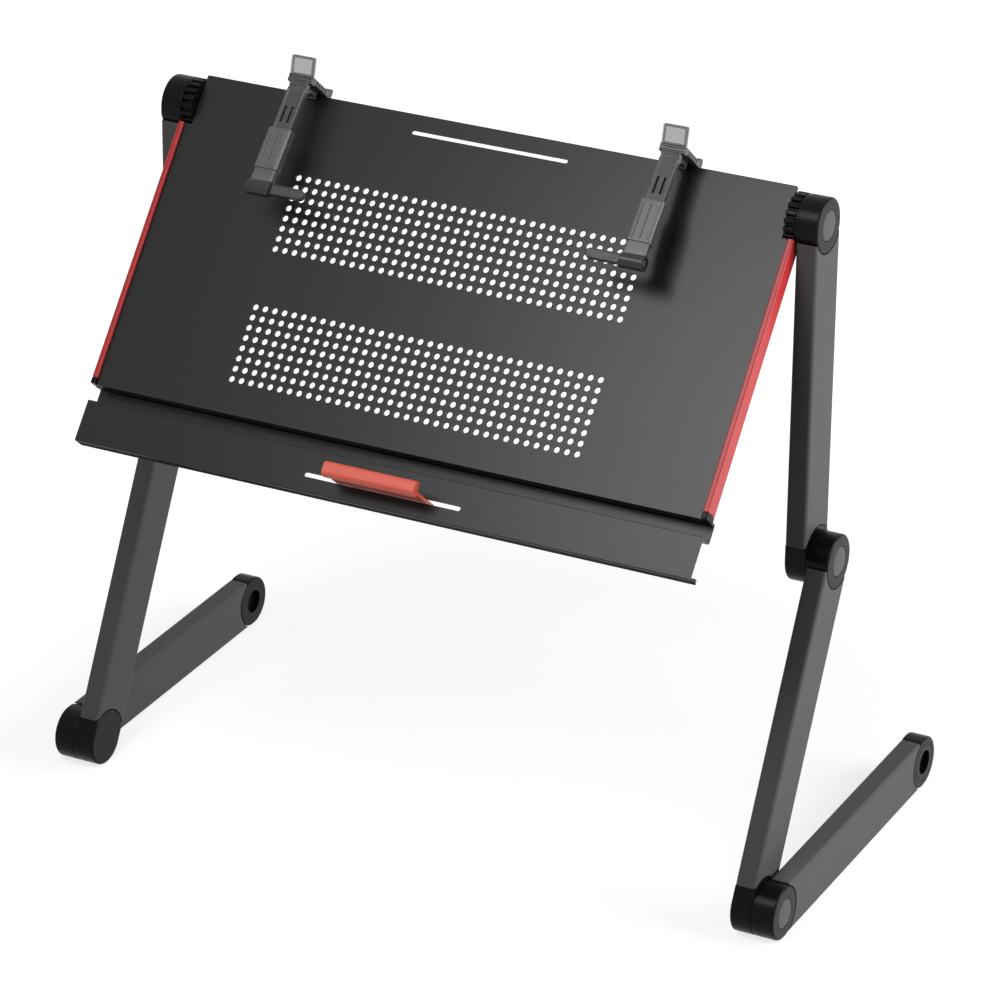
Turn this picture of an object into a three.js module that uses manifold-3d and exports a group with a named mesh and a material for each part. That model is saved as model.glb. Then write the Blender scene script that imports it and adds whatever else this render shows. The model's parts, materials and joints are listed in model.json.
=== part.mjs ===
// A folding aluminium laptop stand: a vented, sloping deck on two three-section legs with locking joints.
// Millimetres and degrees. +X is the user's right, +Y points away from the user, +Z is up.
// The origin is on the floor, at the middle of the space that the stand takes up.
import * as THREE from "three";
import { mergeVertices } from "three/addons/utils/BufferGeometryUtils.js";
import Module from "manifold-3d";

const wasm = await Module();
wasm.setup();

// ---- Pose at rest ----
const DECK_TILT = 49.5; // slope of the deck above the floor
const UPPER_LEAN = 1.2; // how far the upper leg sections lean from plumb
const LOWER_LEAN = 28.2; // how far the lower leg sections lean from plumb

// ---- Fits ----
const SEAT_GAP = 0.3; // between pieces that are fixed to each other
const RUNNING_GAP = 0.35; // between pieces that slide or turn past each other

// ---- Legs ----
const LEG_SPAN = 215.5; // from joint axis to joint axis, the same on every section
const TUBE_WIDTH = 34;
const TUBE_THICKNESS = 13.8;
const TUBE_WALL = 1.5;
const TUBE_CHAMFER = 1.6; // on the long edges of the tube
const LEG_LAYER_GAP = 1.4; // between two sections that fold past each other
const SADDLE_RADIUS = 19.2; // the hollow that the tube's end is cut to, round the joint axis
const SPIGOT_LENGTH = 18; // how far a cap's plug reaches into the tube
const CAP_RIM_OUTER = 16;
const CAP_RIM_INNER = 12.6;

// ---- Joint lock, along the joint axis ----
const BUTTON_RADIUS = 9.5;
const BUTTON_THICKNESS = 3.3;
const BUTTON_PROUD = 0.3;
const BUTTON_TRAVEL = 2.2;
const BUTTON_HOLLOW_RADIUS = 6;
const BUTTON_HOLLOW_DEPTH = 1.2;
const PRONG_SIZE = 2.4;
const PRONG_REACH = 7.7; // from the joint axis to a prong's middle
const CAP_FLOOR = 2.6; // web between the button's recess and the lock ring's socket
const LOCK_SOCKET_DEPTH = 5;
const LOCK_TOOTH_COUNT = 8;
const LOCK_ROOT_RADIUS = 9;
const LOCK_TIP_RADIUS = 11;
const LOCK_REACH = 2.2; // how far the lock ring enters the inboard member
const LOCK_BORE_RADIUS = 3;
const PIN_RADIUS = 2.5;
const PIN_HEAD_RADIUS = 5.2;
const PIN_HEAD_THICKNESS = 1.3;
const PIN_GRIP = 11.2; // how far the pin is screwed into the inboard member
const SPRING_RADIUS = 4;
const SPRING_WIRE = 1;
const SPRING_TURNS = 3;
const SPRING_LENGTH = 4.4;
const SPRING_POCKET_RADIUS = 5.4;
const FOOT_RECESS_RADIUS = 8;
const FOOT_RECESS_DEPTH = 5.6; // from either face, with a web left between

// ---- Deck ----
const DECK_HALF_WIDTH = 210.2; // to the outside of the edge strips
const DECK_SIDE_GAP = 1; // between the deck's edge and the upper leg
const DECK_THICKNESS = 1.8;
const DECK_RISE = 9.2; // deck surface above the top joint axis
const DECK_ABOVE_AXIS = 17.6; // top edge, up the slope from the joint axis
const DECK_BELOW_AXIS = 191.9; // lower edge, down the slope from the joint axis
const NOTCH_WIDTH = 6.6; // corner notch that clears the hinge wheel
const NOTCH_BELOW_AXIS = 15.7;
const SLOT_LENGTH = 107; // the long slots in the deck and the ledge
const DECK_SLOT_WIDTH = 2.5;
const DECK_SLOT_ABOVE_AXIS = 5.9;

// ---- Vents ----
const VENT_PITCH = 6.75;
const VENT_ROWS = 8;
const VENT_SLOTS = 12; // in a row
const VENTS_PER_SLOT = 3; // round vents of the real stand that one slot stands for
const VENT_SLOT_WIDTH = 2.9; // gives a slot the open area of those round vents
const VENT_BRIDGE = 8; // metal between two slots of a row
const VENT_FIELDS_BELOW_AXIS = [36.5, 122.4]; // first row of each field, down the slope from the axis

// ---- Edge trim ----
const TRIM_WIDTH = 4.4; // beside the deck plate
const TRIM_LIP = 1.1; // over the plate's top
const TRIM_PROUD = 0.9;
const TRIM_DEPTH = 6.4;
const TRIM_SKIRT = 1.3;
const CORNER_LENGTH = 4.3; // the black end of the edge rail that shows below the red strip
const RAIL_TONGUE = 6.6; // how far the edge rail reaches under the plate
const RAIL_TONGUE_THICKNESS = 1.5;

// ---- Front rail ----
const RAIL_WALL = 1.8;
const RAIL_FLANGE = 13.9; // under the plate
const CHANNEL_WIDTH = 9.5;
const CHANNEL_DEPTH = 12.8;
const LEDGE_DEPTH = 27; // along the slope
const LEDGE_DROP = 2; // below the deck's surface
const LIP_RADIUS = 3;
const LEDGE_SLOT_WIDTH = 2.9;
const LEDGE_SLOT_FROM_CHANNEL = 15.8;

// ---- Stopper ----
const STOPPER_LENGTH = 64;
const STOPPER_WEB = 2.2;
const STOPPER_HEAD_DEPTH = 9.5;
const STOPPER_HEAD_HEIGHT = 6;
const STOPPER_STAND = 15; // head's underside above the deck's surface
const STOPPER_TAIL = 8; // below the ledge

// ---- Hinge brackets ----
const WHEEL_RADIUS = 17;
const WHEEL_GROOVE_DEPTH = 1.6;
const WHEEL_LOBES = 20;
const BRACKET_WIDTH = 20;
const BRACKET_DRUM_RADIUS = 15;
const BRACKET_FOOT_LENGTH = 30; // down the slope from the drum
const BRACKET_FOOT_THICKNESS = 4.5;
const BRACKET_NECK_BELOW_AXIS = 14;

// ---- Page clips ----
const CLIP_CENTRE = 127; // from the middle of the deck
const CLIP_WIDTH = 17;
const CLIP_HEIGHT = 22; // the neck's top above the deck
const CLIP_EDGE_GAP = 1.2; // between the plate's edge and the clip's neck
const CLIP_NECK = 3.5;
const CLIP_PAD_LENGTH = 9;
const CLIP_PAD_THICKNESS = 2.4;
const TAB_REACH = 15; // up the slope from the deck's edge
const TAB_RISE = 3.8; // tab's tip above the neck
const TAB_THICKNESS = 2.6;
const TAB_WINDOW_DEPTH = 1.5;
const TAB_RIM = 2.2; // round the window
const ARM_SLOPE = 5; // the arm rises away from the deck
const ARM_WIDTH = 12.4;
const ARM_THICKNESS = 4.6;
const ARM_LENGTH = 50; // down the slope from the deck's edge
const ARM_GROOVE_FROM = 14;
const ARM_GROOVE_LENGTH = 11;
const ARM_GROOVE_WIDTH = 1.4;
const ARM_GROOVE_DEPTH = 1.2;
const ARM_GROOVE_OFFSET = 2.4; // from the arm's middle
const JAW_PIVOT_BEYOND_EDGE = 3.9;
const JAW_PIVOT_BELOW_SURFACE = 5.4;
const JAW_KNUCKLE_RADIUS = 3;
const JAW_KNUCKLE_WIDTH = 8;
const JAW_PIN_RADIUS = 1.3;
const JAW_WIDTH = 14;
const JAW_THICKNESS = 2.4;
const JAW_LENGTH = 13; // under the deck
const JAW_LEVER = 4.4; // behind the pivot
const SLEEVE_WALL = 1.3;
const SLEEVE_FROM = 33; // its upper end, down the slope from the deck's edge
const SLEEVE_LENGTH = 31.5;
const SLEEVE_TRAVEL_UP = 14;
const BARREL_RADIUS = 5; // the round end of the sleeve
const BARREL_BEYOND_SLEEVE = 8;
const FINGER_SHAFT_RADIUS = 2.2;
const FINGER_LENGTH = 23;
const FINGER_WIDTH = 6.6;
const FINGER_THICKNESS = 5;

// ---- Sides of the round forms ----
const HUB_SIDES = 20;
const RECESS_SIDES = 16;
const SMALL_SIDES = 8;

// ---- Derived sizes ----
const rad = THREE.MathUtils.degToRad;
const hubRadius = TUBE_WIDTH / 2;
const legPitch = TUBE_THICKNESS + LEG_LAYER_GAP;
const upperLegInner = DECK_HALF_WIDTH + DECK_SIDE_GAP;
const plateHalfWidth = DECK_HALF_WIDTH - TRIM_WIDTH - SEAT_GAP;
const plateUnderside = DECK_RISE - DECK_THICKNESS;
const notchInner = DECK_HALF_WIDTH - NOTCH_WIDTH;
const capSaddleRadius = SADDLE_RADIUS - SEAT_GAP;
const recessFloor = LOCK_SOCKET_DEPTH + CAP_FLOOR;
const lockCavityDepth = LOCK_REACH + BUTTON_TRAVEL + RUNNING_GAP;
const springPocketDepth = LOCK_REACH + BUTTON_TRAVEL + SPRING_LENGTH + 2 * RUNNING_GAP;
const bracketOuter = DECK_HALF_WIDTH + DECK_SIDE_GAP - LEG_LAYER_GAP;

// ---- Materials ----
function material(color, roughness, metalness, opacity = 1) {
  return new THREE.MeshStandardMaterial({
    color,
    roughness,
    metalness,
    opacity,
    transparent: opacity < 1,
  });
}
const deckBlack = material(0x26262a, 0.42, 0.6);
const legGrey = material(0x3a3b3e, 0.45, 0.7);
const capBlack = material(0x141416, 0.5, 0);
const buttonGrey = material(0x77787a, 0.4, 0.2);
const trimRed = material(0xc9302c, 0.4, 0);
const stopperRed = material(0xe8604c, 0.4, 0);
const smokeClear = material(0x34363a, 0.15, 0, 0.6);
const steel = material(0x9a9da1, 0.3, 1);
const nylonWhite = material(0xd8d8d2, 0.6, 0);

// ---- Solids ----
function solidOf(geometry) {
  const bare = geometry.clone();
  bare.deleteAttribute("normal");
  bare.deleteAttribute("uv");
  const merged = mergeVertices(bare, 1e-4);
  return new wasm.Manifold(
    new wasm.Mesh({
      numProp: 3,
      vertProperties: merged.attributes.position.array,
      triVerts: new Uint32Array(merged.index.array),
    }),
  );
}

function geometryOf(solid) {
  const mesh = solid.getMesh();
  const geometry = new THREE.BufferGeometry();
  geometry.setAttribute("position", new THREE.BufferAttribute(mesh.vertProperties, 3));
  geometry.setIndex(new THREE.BufferAttribute(mesh.triVerts, 1));
  geometry.computeVertexNormals();
  return geometry;
}

const join = (first, ...others) => others.reduce((sum, other) => sum.add(other), first);
const cut = (first, ...others) => others.reduce((rest, other) => rest.subtract(other), first);

function piece(name, shape, finish) {
  const geometry = shape.isBufferGeometry ? shape : geometryOf(shape);
  const mesh = new THREE.Mesh(geometry, finish);
  mesh.name = name;
  return mesh;
}

function groupOf(name, ...members) {
  const group = new THREE.Group();
  group.name = name;
  group.add(...members);
  return group;
}

// ---- Outlines and sweeps ----
function arc(centreA, centreB, radius, fromDeg, toDeg, steps) {
  const points = [];
  for (let i = 0; i <= steps; i++) {
    const angle = rad(fromDeg + ((toDeg - fromDeg) * i) / steps);
    points.push([centreA + radius * Math.cos(angle), centreB + radius * Math.sin(angle)]);
  }
  return points;
}

function circle(radius, sides, centreA = 0, centreB = 0) {
  return arc(centreA, centreB, radius, 0, 360, sides).slice(0, -1);
}

function outline(points) {
  return new THREE.Shape(points.map(([a, b]) => new THREE.Vector2(a, b)));
}

// An outline drawn in (Y, Z), swept along X.
const ALONG_X = new THREE.Matrix4().set(0, 0, 1, 0, 1, 0, 0, 0, 0, 1, 0, 0, 0, 0, 0, 1);
function alongX(points, fromX, toX) {
  const geometry = new THREE.ExtrudeGeometry(outline(points), {
    depth: toX - fromX,
    bevelEnabled: false,
  });
  geometry.translate(0, 0, fromX);
  return solidOf(geometry.applyMatrix4(ALONG_X));
}

// An outline drawn in (Z, X), swept along Y.
const ALONG_Y = new THREE.Matrix4().set(0, 1, 0, 0, 0, 0, 1, 0, 1, 0, 0, 0, 0, 0, 0, 1);
function alongY(points, fromY, toY) {
  const geometry = new THREE.ExtrudeGeometry(outline(points), {
    depth: toY - fromY,
    bevelEnabled: false,
  });
  geometry.translate(0, 0, fromY);
  return solidOf(geometry.applyMatrix4(ALONG_Y));
}

function drum(radius, fromX, toX, sides, y = 0, z = 0) {
  return alongX(circle(radius, sides, y, z), fromX, toX);
}

// A round hole whose flats, not its corners, lie at the radius.
function bore(radius, fromX, toX, sides, y = 0, z = 0) {
  return drum(radius / Math.cos(Math.PI / sides), fromX, toX, sides, y, z);
}

function block([x0, x1], [y0, y1], [z0, z1]) {
  const geometry = new THREE.BoxGeometry(x1 - x0, y1 - y0, z1 - z0);
  geometry.translate((x0 + x1) / 2, (y0 + y1) / 2, (z0 + z1) / 2);
  return solidOf(geometry);
}

function chamferedRectangle(halfA, halfB, chamfer) {
  const points = [];
  for (const [signA, signB] of [[1, -1], [1, 1], [-1, 1], [-1, -1]]) {
    const nearA = [signA * (halfA - chamfer), signB * halfB];
    const nearB = [signA * halfA, signB * (halfB - chamfer)];
    points.push(...(signA * signB < 0 ? [nearA, nearB] : [nearB, nearA]));
  }
  return points;
}

// A slot with pointed round ends, centred on (centreA, centreB) and long along the first axis.
function slotPoints(length, width, centreA, centreB) {
  const radius = width / 2;
  const half = length / 2 - radius;
  return [
    ...arc(centreA + half, centreB, radius, -90, 90, 4),
    ...arc(centreA - half, centreB, radius, 90, 270, 4),
  ];
}

// ---- Deck ----
function plateOutline() {
  const top = DECK_ABOVE_AXIS;
  const notchEnd = -NOTCH_BELOW_AXIS;
  const right = [
    [plateHalfWidth, -DECK_BELOW_AXIS],
    [plateHalfWidth, notchEnd],
    [notchInner, notchEnd],
    [notchInner, top],
  ];
  const left = right.map(([x, y]) => [-x, y]).reverse();
  return outline([...right, ...left]);
}

function hole(points) {
  return new THREE.Path(points.map(([a, b]) => new THREE.Vector2(a, b)));
}

// Each slot of the vents stands for a few of the real stand's round holes, with the same open area.
function ventSlots() {
  const slots = [];
  const slotPitch = VENTS_PER_SLOT * VENT_PITCH;
  const half = (slotPitch - VENT_BRIDGE) / 2;
  const first = (-(VENT_SLOTS - 1) * slotPitch) / 2;
  for (const firstRow of VENT_FIELDS_BELOW_AXIS) {
    for (let row = 0; row < VENT_ROWS; row++) {
      const y = -firstRow - row * VENT_PITCH;
      for (let slot = 0; slot < VENT_SLOTS; slot++) {
        const x = first + slot * slotPitch;
        slots.push(
          block(
            [x - half, x + half],
            [y - VENT_SLOT_WIDTH / 2, y + VENT_SLOT_WIDTH / 2],
            [plateUnderside - 1, DECK_RISE + 1],
          ),
        );
      }
    }
  }
  return slots;
}

function deckPlate() {
  const shape = plateOutline();
  shape.holes.push(hole(slotPoints(SLOT_LENGTH, DECK_SLOT_WIDTH, 0, DECK_SLOT_ABOVE_AXIS)));
  const geometry = new THREE.ExtrudeGeometry(shape, { depth: DECK_THICKNESS, bevelEnabled: false });
  return cut(solidOf(geometry.translate(0, 0, plateUnderside)), ...ventSlots());
}

// The edge trim's section in (Z, X): over the plate's edge, then down the outside.
function trimSection() {
  const inner = plateHalfWidth + SEAT_GAP;
  const outer = DECK_HALF_WIDTH;
  const top = DECK_RISE + TRIM_PROUD;
  const lipUnder = DECK_RISE + SEAT_GAP;
  const bottom = DECK_RISE - TRIM_DEPTH;
  const shelf = plateUnderside - SEAT_GAP;
  return [
    [shelf, inner],
    [lipUnder, inner],
    [lipUnder, inner - TRIM_LIP - SEAT_GAP],
    [top, inner - TRIM_LIP],
    [top, outer - 2 * TRIM_PROUD],
    [top - TRIM_PROUD, outer - TRIM_PROUD / 2],
    [top - 2 * TRIM_PROUD, outer],
    [bottom, outer],
    [bottom, outer - TRIM_SKIRT],
    [shelf, outer - TRIM_SKIRT],
  ];
}

const wheelSpace = () =>
  bore(WHEEL_RADIUS + SEAT_GAP, notchInner, DECK_HALF_WIDTH + 1, HUB_SIDES);

function edgeStrip() {
  const lower = -DECK_BELOW_AXIS + CORNER_LENGTH + SEAT_GAP;
  return cut(alongY(trimSection(), lower, -NOTCH_BELOW_AXIS), wheelSpace());
}

function edgeRail() {
  const inner = plateHalfWidth + SEAT_GAP;
  const shelf = plateUnderside - SEAT_GAP;
  const bottom = DECK_RISE - TRIM_DEPTH;
  const tongueUnder = shelf - SEAT_GAP - RAIL_TONGUE_THICKNESS;
  const section = [
    [shelf - SEAT_GAP, inner - RAIL_TONGUE],
    [shelf - SEAT_GAP, DECK_HALF_WIDTH - TRIM_SKIRT - SEAT_GAP],
    [bottom, DECK_HALF_WIDTH - TRIM_SKIRT - SEAT_GAP],
    [bottom, inner],
    [tongueUnder, inner],
    [tongueUnder, inner - RAIL_TONGUE],
  ];
  const lowerEnd = -DECK_BELOW_AXIS + SEAT_GAP;
  const cornerEnd = -DECK_BELOW_AXIS + CORNER_LENGTH;
  const flangeEnd = -DECK_BELOW_AXIS + RAIL_FLANGE + SEAT_GAP;
  const rail = alongY(section, flangeEnd, -NOTCH_BELOW_AXIS);
  const stem = [
    [shelf - SEAT_GAP, inner],
    [shelf - SEAT_GAP, DECK_HALF_WIDTH - TRIM_SKIRT - SEAT_GAP],
    [bottom, DECK_HALF_WIDTH - TRIM_SKIRT - SEAT_GAP],
    [bottom, inner],
  ];
  const run = alongY(stem, lowerEnd, flangeEnd + 1);
  const corner = alongY(trimSection(), lowerEnd, cornerEnd);
  const root = block(
    [inner, DECK_HALF_WIDTH - TRIM_SKIRT / 2],
    [lowerEnd, cornerEnd],
    [bottom, shelf + SEAT_GAP / 2],
  );
  return cut(join(rail, run, corner, root), wheelSpace());
}

function frontRailSection() {
  const edge = -DECK_BELOW_AXIS;
  const ledgeBack = edge - CHANNEL_WIDTH;
  const ledgeFront = ledgeBack - LEDGE_DEPTH;
  const flangeTop = plateUnderside - SEAT_GAP;
  const channelFloor = DECK_RISE - CHANNEL_DEPTH;
  const ledgeTop = DECK_RISE - LEDGE_DROP;
  return [
    [edge + RAIL_FLANGE, flangeTop],
    [edge, flangeTop],
    [edge, channelFloor],
    [ledgeBack, channelFloor],
    [ledgeBack, ledgeTop],
    ...arc(ledgeFront + LIP_RADIUS, ledgeTop - LIP_RADIUS, LIP_RADIUS, 90, 180, 4),
    [ledgeFront, channelFloor],
    [ledgeFront + RAIL_WALL, channelFloor],
    [ledgeFront + RAIL_WALL, ledgeTop - LIP_RADIUS],
    [ledgeFront + LIP_RADIUS, ledgeTop - RAIL_WALL],
    [ledgeBack - RAIL_WALL, ledgeTop - RAIL_WALL],
    [ledgeBack - RAIL_WALL, channelFloor - RAIL_WALL],
    [edge + RAIL_WALL, channelFloor - RAIL_WALL],
    [edge + RAIL_WALL, flangeTop - RAIL_WALL],
    [edge + RAIL_FLANGE, flangeTop - RAIL_WALL],
  ];
}

const ledgeSlotY = -DECK_BELOW_AXIS - CHANNEL_WIDTH - LEDGE_SLOT_FROM_CHANNEL;

function frontRail() {
  const rail = alongX(frontRailSection(), -DECK_HALF_WIDTH, DECK_HALF_WIDTH);
  const trimSpace = [
    [plateHalfWidth, DECK_HALF_WIDTH + 1],
    [-DECK_HALF_WIDTH - 1, -plateHalfWidth],
  ].map((acrossX) => block(acrossX, [-DECK_BELOW_AXIS, 0], [-DECK_RISE, DECK_RISE]));
  const slot = new THREE.ExtrudeGeometry(
    outline(slotPoints(SLOT_LENGTH, LEDGE_SLOT_WIDTH, 0, ledgeSlotY)),
    { depth: 4 * RAIL_WALL, bevelEnabled: false },
  ).translate(0, 0, DECK_RISE - LEDGE_DROP - 3 * RAIL_WALL);
  return cut(rail, solidOf(slot), ...trimSpace);
}

function stopper() {
  const webHalf = STOPPER_WEB / 2;
  const headHalf = STOPPER_HEAD_DEPTH / 2;
  const headUnder = DECK_RISE + STOPPER_STAND;
  const headTop = headUnder + STOPPER_HEAD_HEIGHT;
  const crown = STOPPER_HEAD_HEIGHT / 2;
  const tail = DECK_RISE - LEDGE_DROP - RAIL_WALL - STOPPER_TAIL;
  const section = [
    [ledgeSlotY + webHalf, tail],
    [ledgeSlotY + webHalf, headUnder],
    [ledgeSlotY + headHalf, headUnder],
    ...arc(ledgeSlotY + headHalf - crown, headTop - crown, crown, 0, 90, 3),
    ...arc(ledgeSlotY - headHalf + crown, headTop - crown, crown, 90, 180, 3),
    [ledgeSlotY - headHalf, headUnder],
    [ledgeSlotY - webHalf, headUnder],
    [ledgeSlotY - webHalf, tail],
  ];
  return alongX(section, -STOPPER_LENGTH / 2, STOPPER_LENGTH / 2);
}

// ---- Joint lock ----
function toothedOutline(rootRadius, tipRadius) {
  const points = [];
  const pitch = 360 / LOCK_TOOTH_COUNT;
  const corners = [[-0.3, rootRadius], [-0.2, tipRadius], [0.2, tipRadius], [0.3, rootRadius]];
  for (let tooth = 0; tooth < LOCK_TOOTH_COUNT; tooth++) {
    const middle = tooth * pitch;
    for (const [share, radius] of corners) {
      const angle = rad(middle + share * pitch);
      points.push([radius * Math.cos(angle), radius * Math.sin(angle)]);
    }
  }
  return points;
}

// The inboard member's side of a joint, cut from its outer face at outerX.
function inboardCavities(outerX) {
  return [
    bore(LOCK_TIP_RADIUS + RUNNING_GAP, outerX - lockCavityDepth, outerX + 1, RECESS_SIDES),
    bore(SPRING_POCKET_RADIUS, outerX - springPocketDepth, outerX, SMALL_SIDES),
    bore(PIN_RADIUS + SEAT_GAP, outerX - PIN_GRIP - SEAT_GAP, outerX, SMALL_SIDES),
  ];
}

// The outboard member's side of a joint: its inner face is at x = 0.
function outboardCavities() {
  const socket = toothedOutline(LOCK_ROOT_RADIUS + RUNNING_GAP, LOCK_TIP_RADIUS + RUNNING_GAP);
  const prongHole = PRONG_SIZE / 2 + RUNNING_GAP;
  return [
    alongX(socket, -LEG_LAYER_GAP, LOCK_SOCKET_DEPTH),
    bore(BUTTON_RADIUS + RUNNING_GAP, recessFloor, TUBE_THICKNESS + 1, HUB_SIDES),
    bore(PIN_RADIUS + RUNNING_GAP, 0, TUBE_THICKNESS, SMALL_SIDES),
    ...[-1, 1].map((side) =>
      block(
        [1, TUBE_THICKNESS - 1],
        [-prongHole, prongHole],
        [side * PRONG_REACH - prongHole, side * PRONG_REACH + prongHole],
      ),
    ),
  ];
}

function lockButton() {
  const outer = TUBE_THICKNESS + BUTTON_PROUD;
  const under = outer - BUTTON_THICKNESS;
  const half = PRONG_SIZE / 2;
  const disc = cut(
    drum(BUTTON_RADIUS, under, outer, HUB_SIDES),
    drum(BUTTON_HOLLOW_RADIUS, under - 1, under + BUTTON_HOLLOW_DEPTH, SMALL_SIDES),
  );
  const prongs = [-1, 1].map((side) =>
    block(
      [LOCK_SOCKET_DEPTH, under + BUTTON_HOLLOW_DEPTH],
      [-half, half],
      [side * PRONG_REACH - half, side * PRONG_REACH + half],
    ),
  );
  return join(disc, ...prongs);
}

function lockRing() {
  const shape = outline(toothedOutline(LOCK_ROOT_RADIUS, LOCK_TIP_RADIUS));
  shape.holes.push(hole(circle(LOCK_BORE_RADIUS, SMALL_SIDES)));
  const inner = -LEG_LAYER_GAP - LOCK_REACH;
  const depth = LOCK_SOCKET_DEPTH - SEAT_GAP - inner;
  const geometry = new THREE.ExtrudeGeometry(shape, { depth, bevelEnabled: false });
  return geometry.translate(0, 0, inner).applyMatrix4(ALONG_X);
}

function lockSpring() {
  const from = -LEG_LAYER_GAP - LOCK_REACH - SEAT_GAP - SPRING_WIRE / 2;
  const rise = SPRING_LENGTH - SPRING_WIRE;
  class Helix extends THREE.Curve {
    getPoint(t, target = new THREE.Vector3()) {
      const angle = t * SPRING_TURNS * 2 * Math.PI;
      return target.set(from - t * rise, SPRING_RADIUS * Math.cos(angle), SPRING_RADIUS * Math.sin(angle));
    }
  }
  return new THREE.ExtrudeGeometry(outline(circle(SPRING_WIRE / 2, 3)), {
    steps: SPRING_TURNS * SMALL_SIDES,
    extrudePath: new Helix(),
    bevelEnabled: false,
  });
}

function pivotPin() {
  const head = recessFloor + SEAT_GAP;
  const profile = [
    [0, -LEG_LAYER_GAP - PIN_GRIP],
    [PIN_RADIUS, -LEG_LAYER_GAP - PIN_GRIP],
    [PIN_RADIUS, head],
    [PIN_HEAD_RADIUS, head],
    [PIN_HEAD_RADIUS, head + PIN_HEAD_THICKNESS],
    [0, head + PIN_HEAD_THICKNESS],
  ].map(([radius, x]) => new THREE.Vector2(radius, x));
  return new THREE.LatheGeometry(profile, SMALL_SIDES).rotateZ(-Math.PI / 2);
}

// The four loose pieces of one joint, drawn from the outboard member's inner face.
function jointPieces(joint, side) {
  return [
    piece(`${joint}_button_${side}`, lockButton(), buttonGrey),
    piece(`${joint}_lock_ring_${side}`, lockRing(), nylonWhite),
    piece(`${joint}_spring_${side}`, lockSpring(), steel),
    piece(`${joint}_pin_${side}`, pivotPin(), steel),
  ];
}

// ---- Leg sections ----
// A section runs along +Y from its first joint axis at y = 0; its inner face is at x = 0.
function tube() {
  const half = TUBE_THICKNESS / 2;
  const outer = chamferedRectangle(hubRadius, half, TUBE_CHAMFER);
  const inside = hubRadius - TUBE_WALL;
  const shape = outline(outer.map(([z, x]) => [z, x + half]));
  shape.holes.push(
    hole([
      [-inside, TUBE_WALL],
      [inside, TUBE_WALL],
      [inside, TUBE_THICKNESS - TUBE_WALL],
      [-inside, TUBE_THICKNESS - TUBE_WALL],
    ]),
  );
  const geometry = new THREE.ExtrudeGeometry(shape, { depth: LEG_SPAN, bevelEnabled: false });
  const saddle = [0, LEG_SPAN].map((y) => drum(SADDLE_RADIUS, -1, TUBE_THICKNESS + 1, HUB_SIDES, y));
  return cut(solidOf(geometry.applyMatrix4(ALONG_Y)), ...saddle);
}

// A moulded end cap round the axis at y, its plug pointing to `toward` (+1 or -1) along Y.
function capBody(y, toward) {
  const reach = SADDLE_RADIUS + SPIGOT_LENGTH;
  const hub = [
    ...arc(0, 0, hubRadius, 90, 270, HUB_SIDES / 2),
    [SADDLE_RADIUS + 1, -hubRadius],
    [SADDLE_RADIUS + 1, hubRadius],
  ].map(([a, b]) => [y + toward * a, b]);
  const round = circle(capSaddleRadius, HUB_SIDES, y, 0);
  const body = alongX(hub, 0, TUBE_THICKNESS).intersect(alongX(round, -1, TUBE_THICKNESS + 1));
  const fit = TUBE_WALL + SEAT_GAP;
  const span = [y + toward * (LOCK_TIP_RADIUS + 3), y + toward * reach].sort((a, b) => a - b);
  const plug = block([fit, TUBE_THICKNESS - fit], span, [fit - hubRadius, hubRadius - fit]);
  return join(body, plug);
}

function headCap() {
  const rim = cut(
    drum(CAP_RIM_OUTER, RUNNING_GAP - LEG_LAYER_GAP, 1, HUB_SIDES),
    bore(CAP_RIM_INNER, -LEG_LAYER_GAP, 2, HUB_SIDES),
  );
  return cut(join(capBody(0, 1), rim), ...outboardCavities());
}

function tailCap() {
  const cavities = inboardCavities(TUBE_THICKNESS).map((solid) => solid.translate([0, LEG_SPAN, 0]));
  return cut(capBody(LEG_SPAN, -1), ...cavities);
}

function footEndCap() {
  const recess = (fromX, toX) => bore(FOOT_RECESS_RADIUS, fromX, toX, RECESS_SIDES, LEG_SPAN);
  return cut(
    capBody(LEG_SPAN, -1),
    recess(-1, FOOT_RECESS_DEPTH),
    recess(TUBE_THICKNESS - FOOT_RECESS_DEPTH, TUBE_THICKNESS + 1),
  );
}

// ---- Hinge bracket, drawn round the top joint axis in the deck's frame ----
function wheelOutline() {
  const points = [];
  const pitch = 360 / WHEEL_LOBES;
  const low = WHEEL_RADIUS - WHEEL_GROOVE_DEPTH;
  for (let lobe = 0; lobe < WHEEL_LOBES; lobe++) {
    const start = lobe * pitch;
    for (const [share, radius] of [[0, WHEEL_RADIUS], [0.6, WHEEL_RADIUS], [0.68, low], [0.92, low]]) {
      const angle = rad(start + share * pitch);
      points.push([radius * Math.cos(angle), radius * Math.sin(angle)]);
    }
  }
  return points;
}

function hingeBracket() {
  const top = plateUnderside - SEAT_GAP;
  const wheelInner = notchInner + SEAT_GAP;
  const footInner = wheelInner - BRACKET_WIDTH;
  const railTongue = plateHalfWidth + SEAT_GAP - RAIL_TONGUE - SEAT_GAP;
  const startDeg = THREE.MathUtils.radToDeg(Math.asin(top / BRACKET_DRUM_RADIUS));
  const section = arc(0, 0, BRACKET_DRUM_RADIUS, 180 - startDeg, 360 + startDeg, HUB_SIDES / 2);
  const drumBlock = alongX(section, footInner, wheelInner + 1);
  const beyondRail = block(
    [railTongue, wheelInner + 2],
    [-2 * WHEEL_RADIUS, -BRACKET_NECK_BELOW_AXIS],
    [-2 * WHEEL_RADIUS, WHEEL_RADIUS],
  );
  const footStart = -BRACKET_DRUM_RADIUS + 3;
  const foot = block(
    [footInner, railTongue],
    [footStart - BRACKET_FOOT_LENGTH, footStart],
    [top - BRACKET_FOOT_THICKNESS, top],
  );
  const wheel = alongX(wheelOutline(), wheelInner, bracketOuter);
  return cut(join(cut(drumBlock, beyondRail), foot, wheel), ...inboardCavities(bracketOuter));
}

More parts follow.
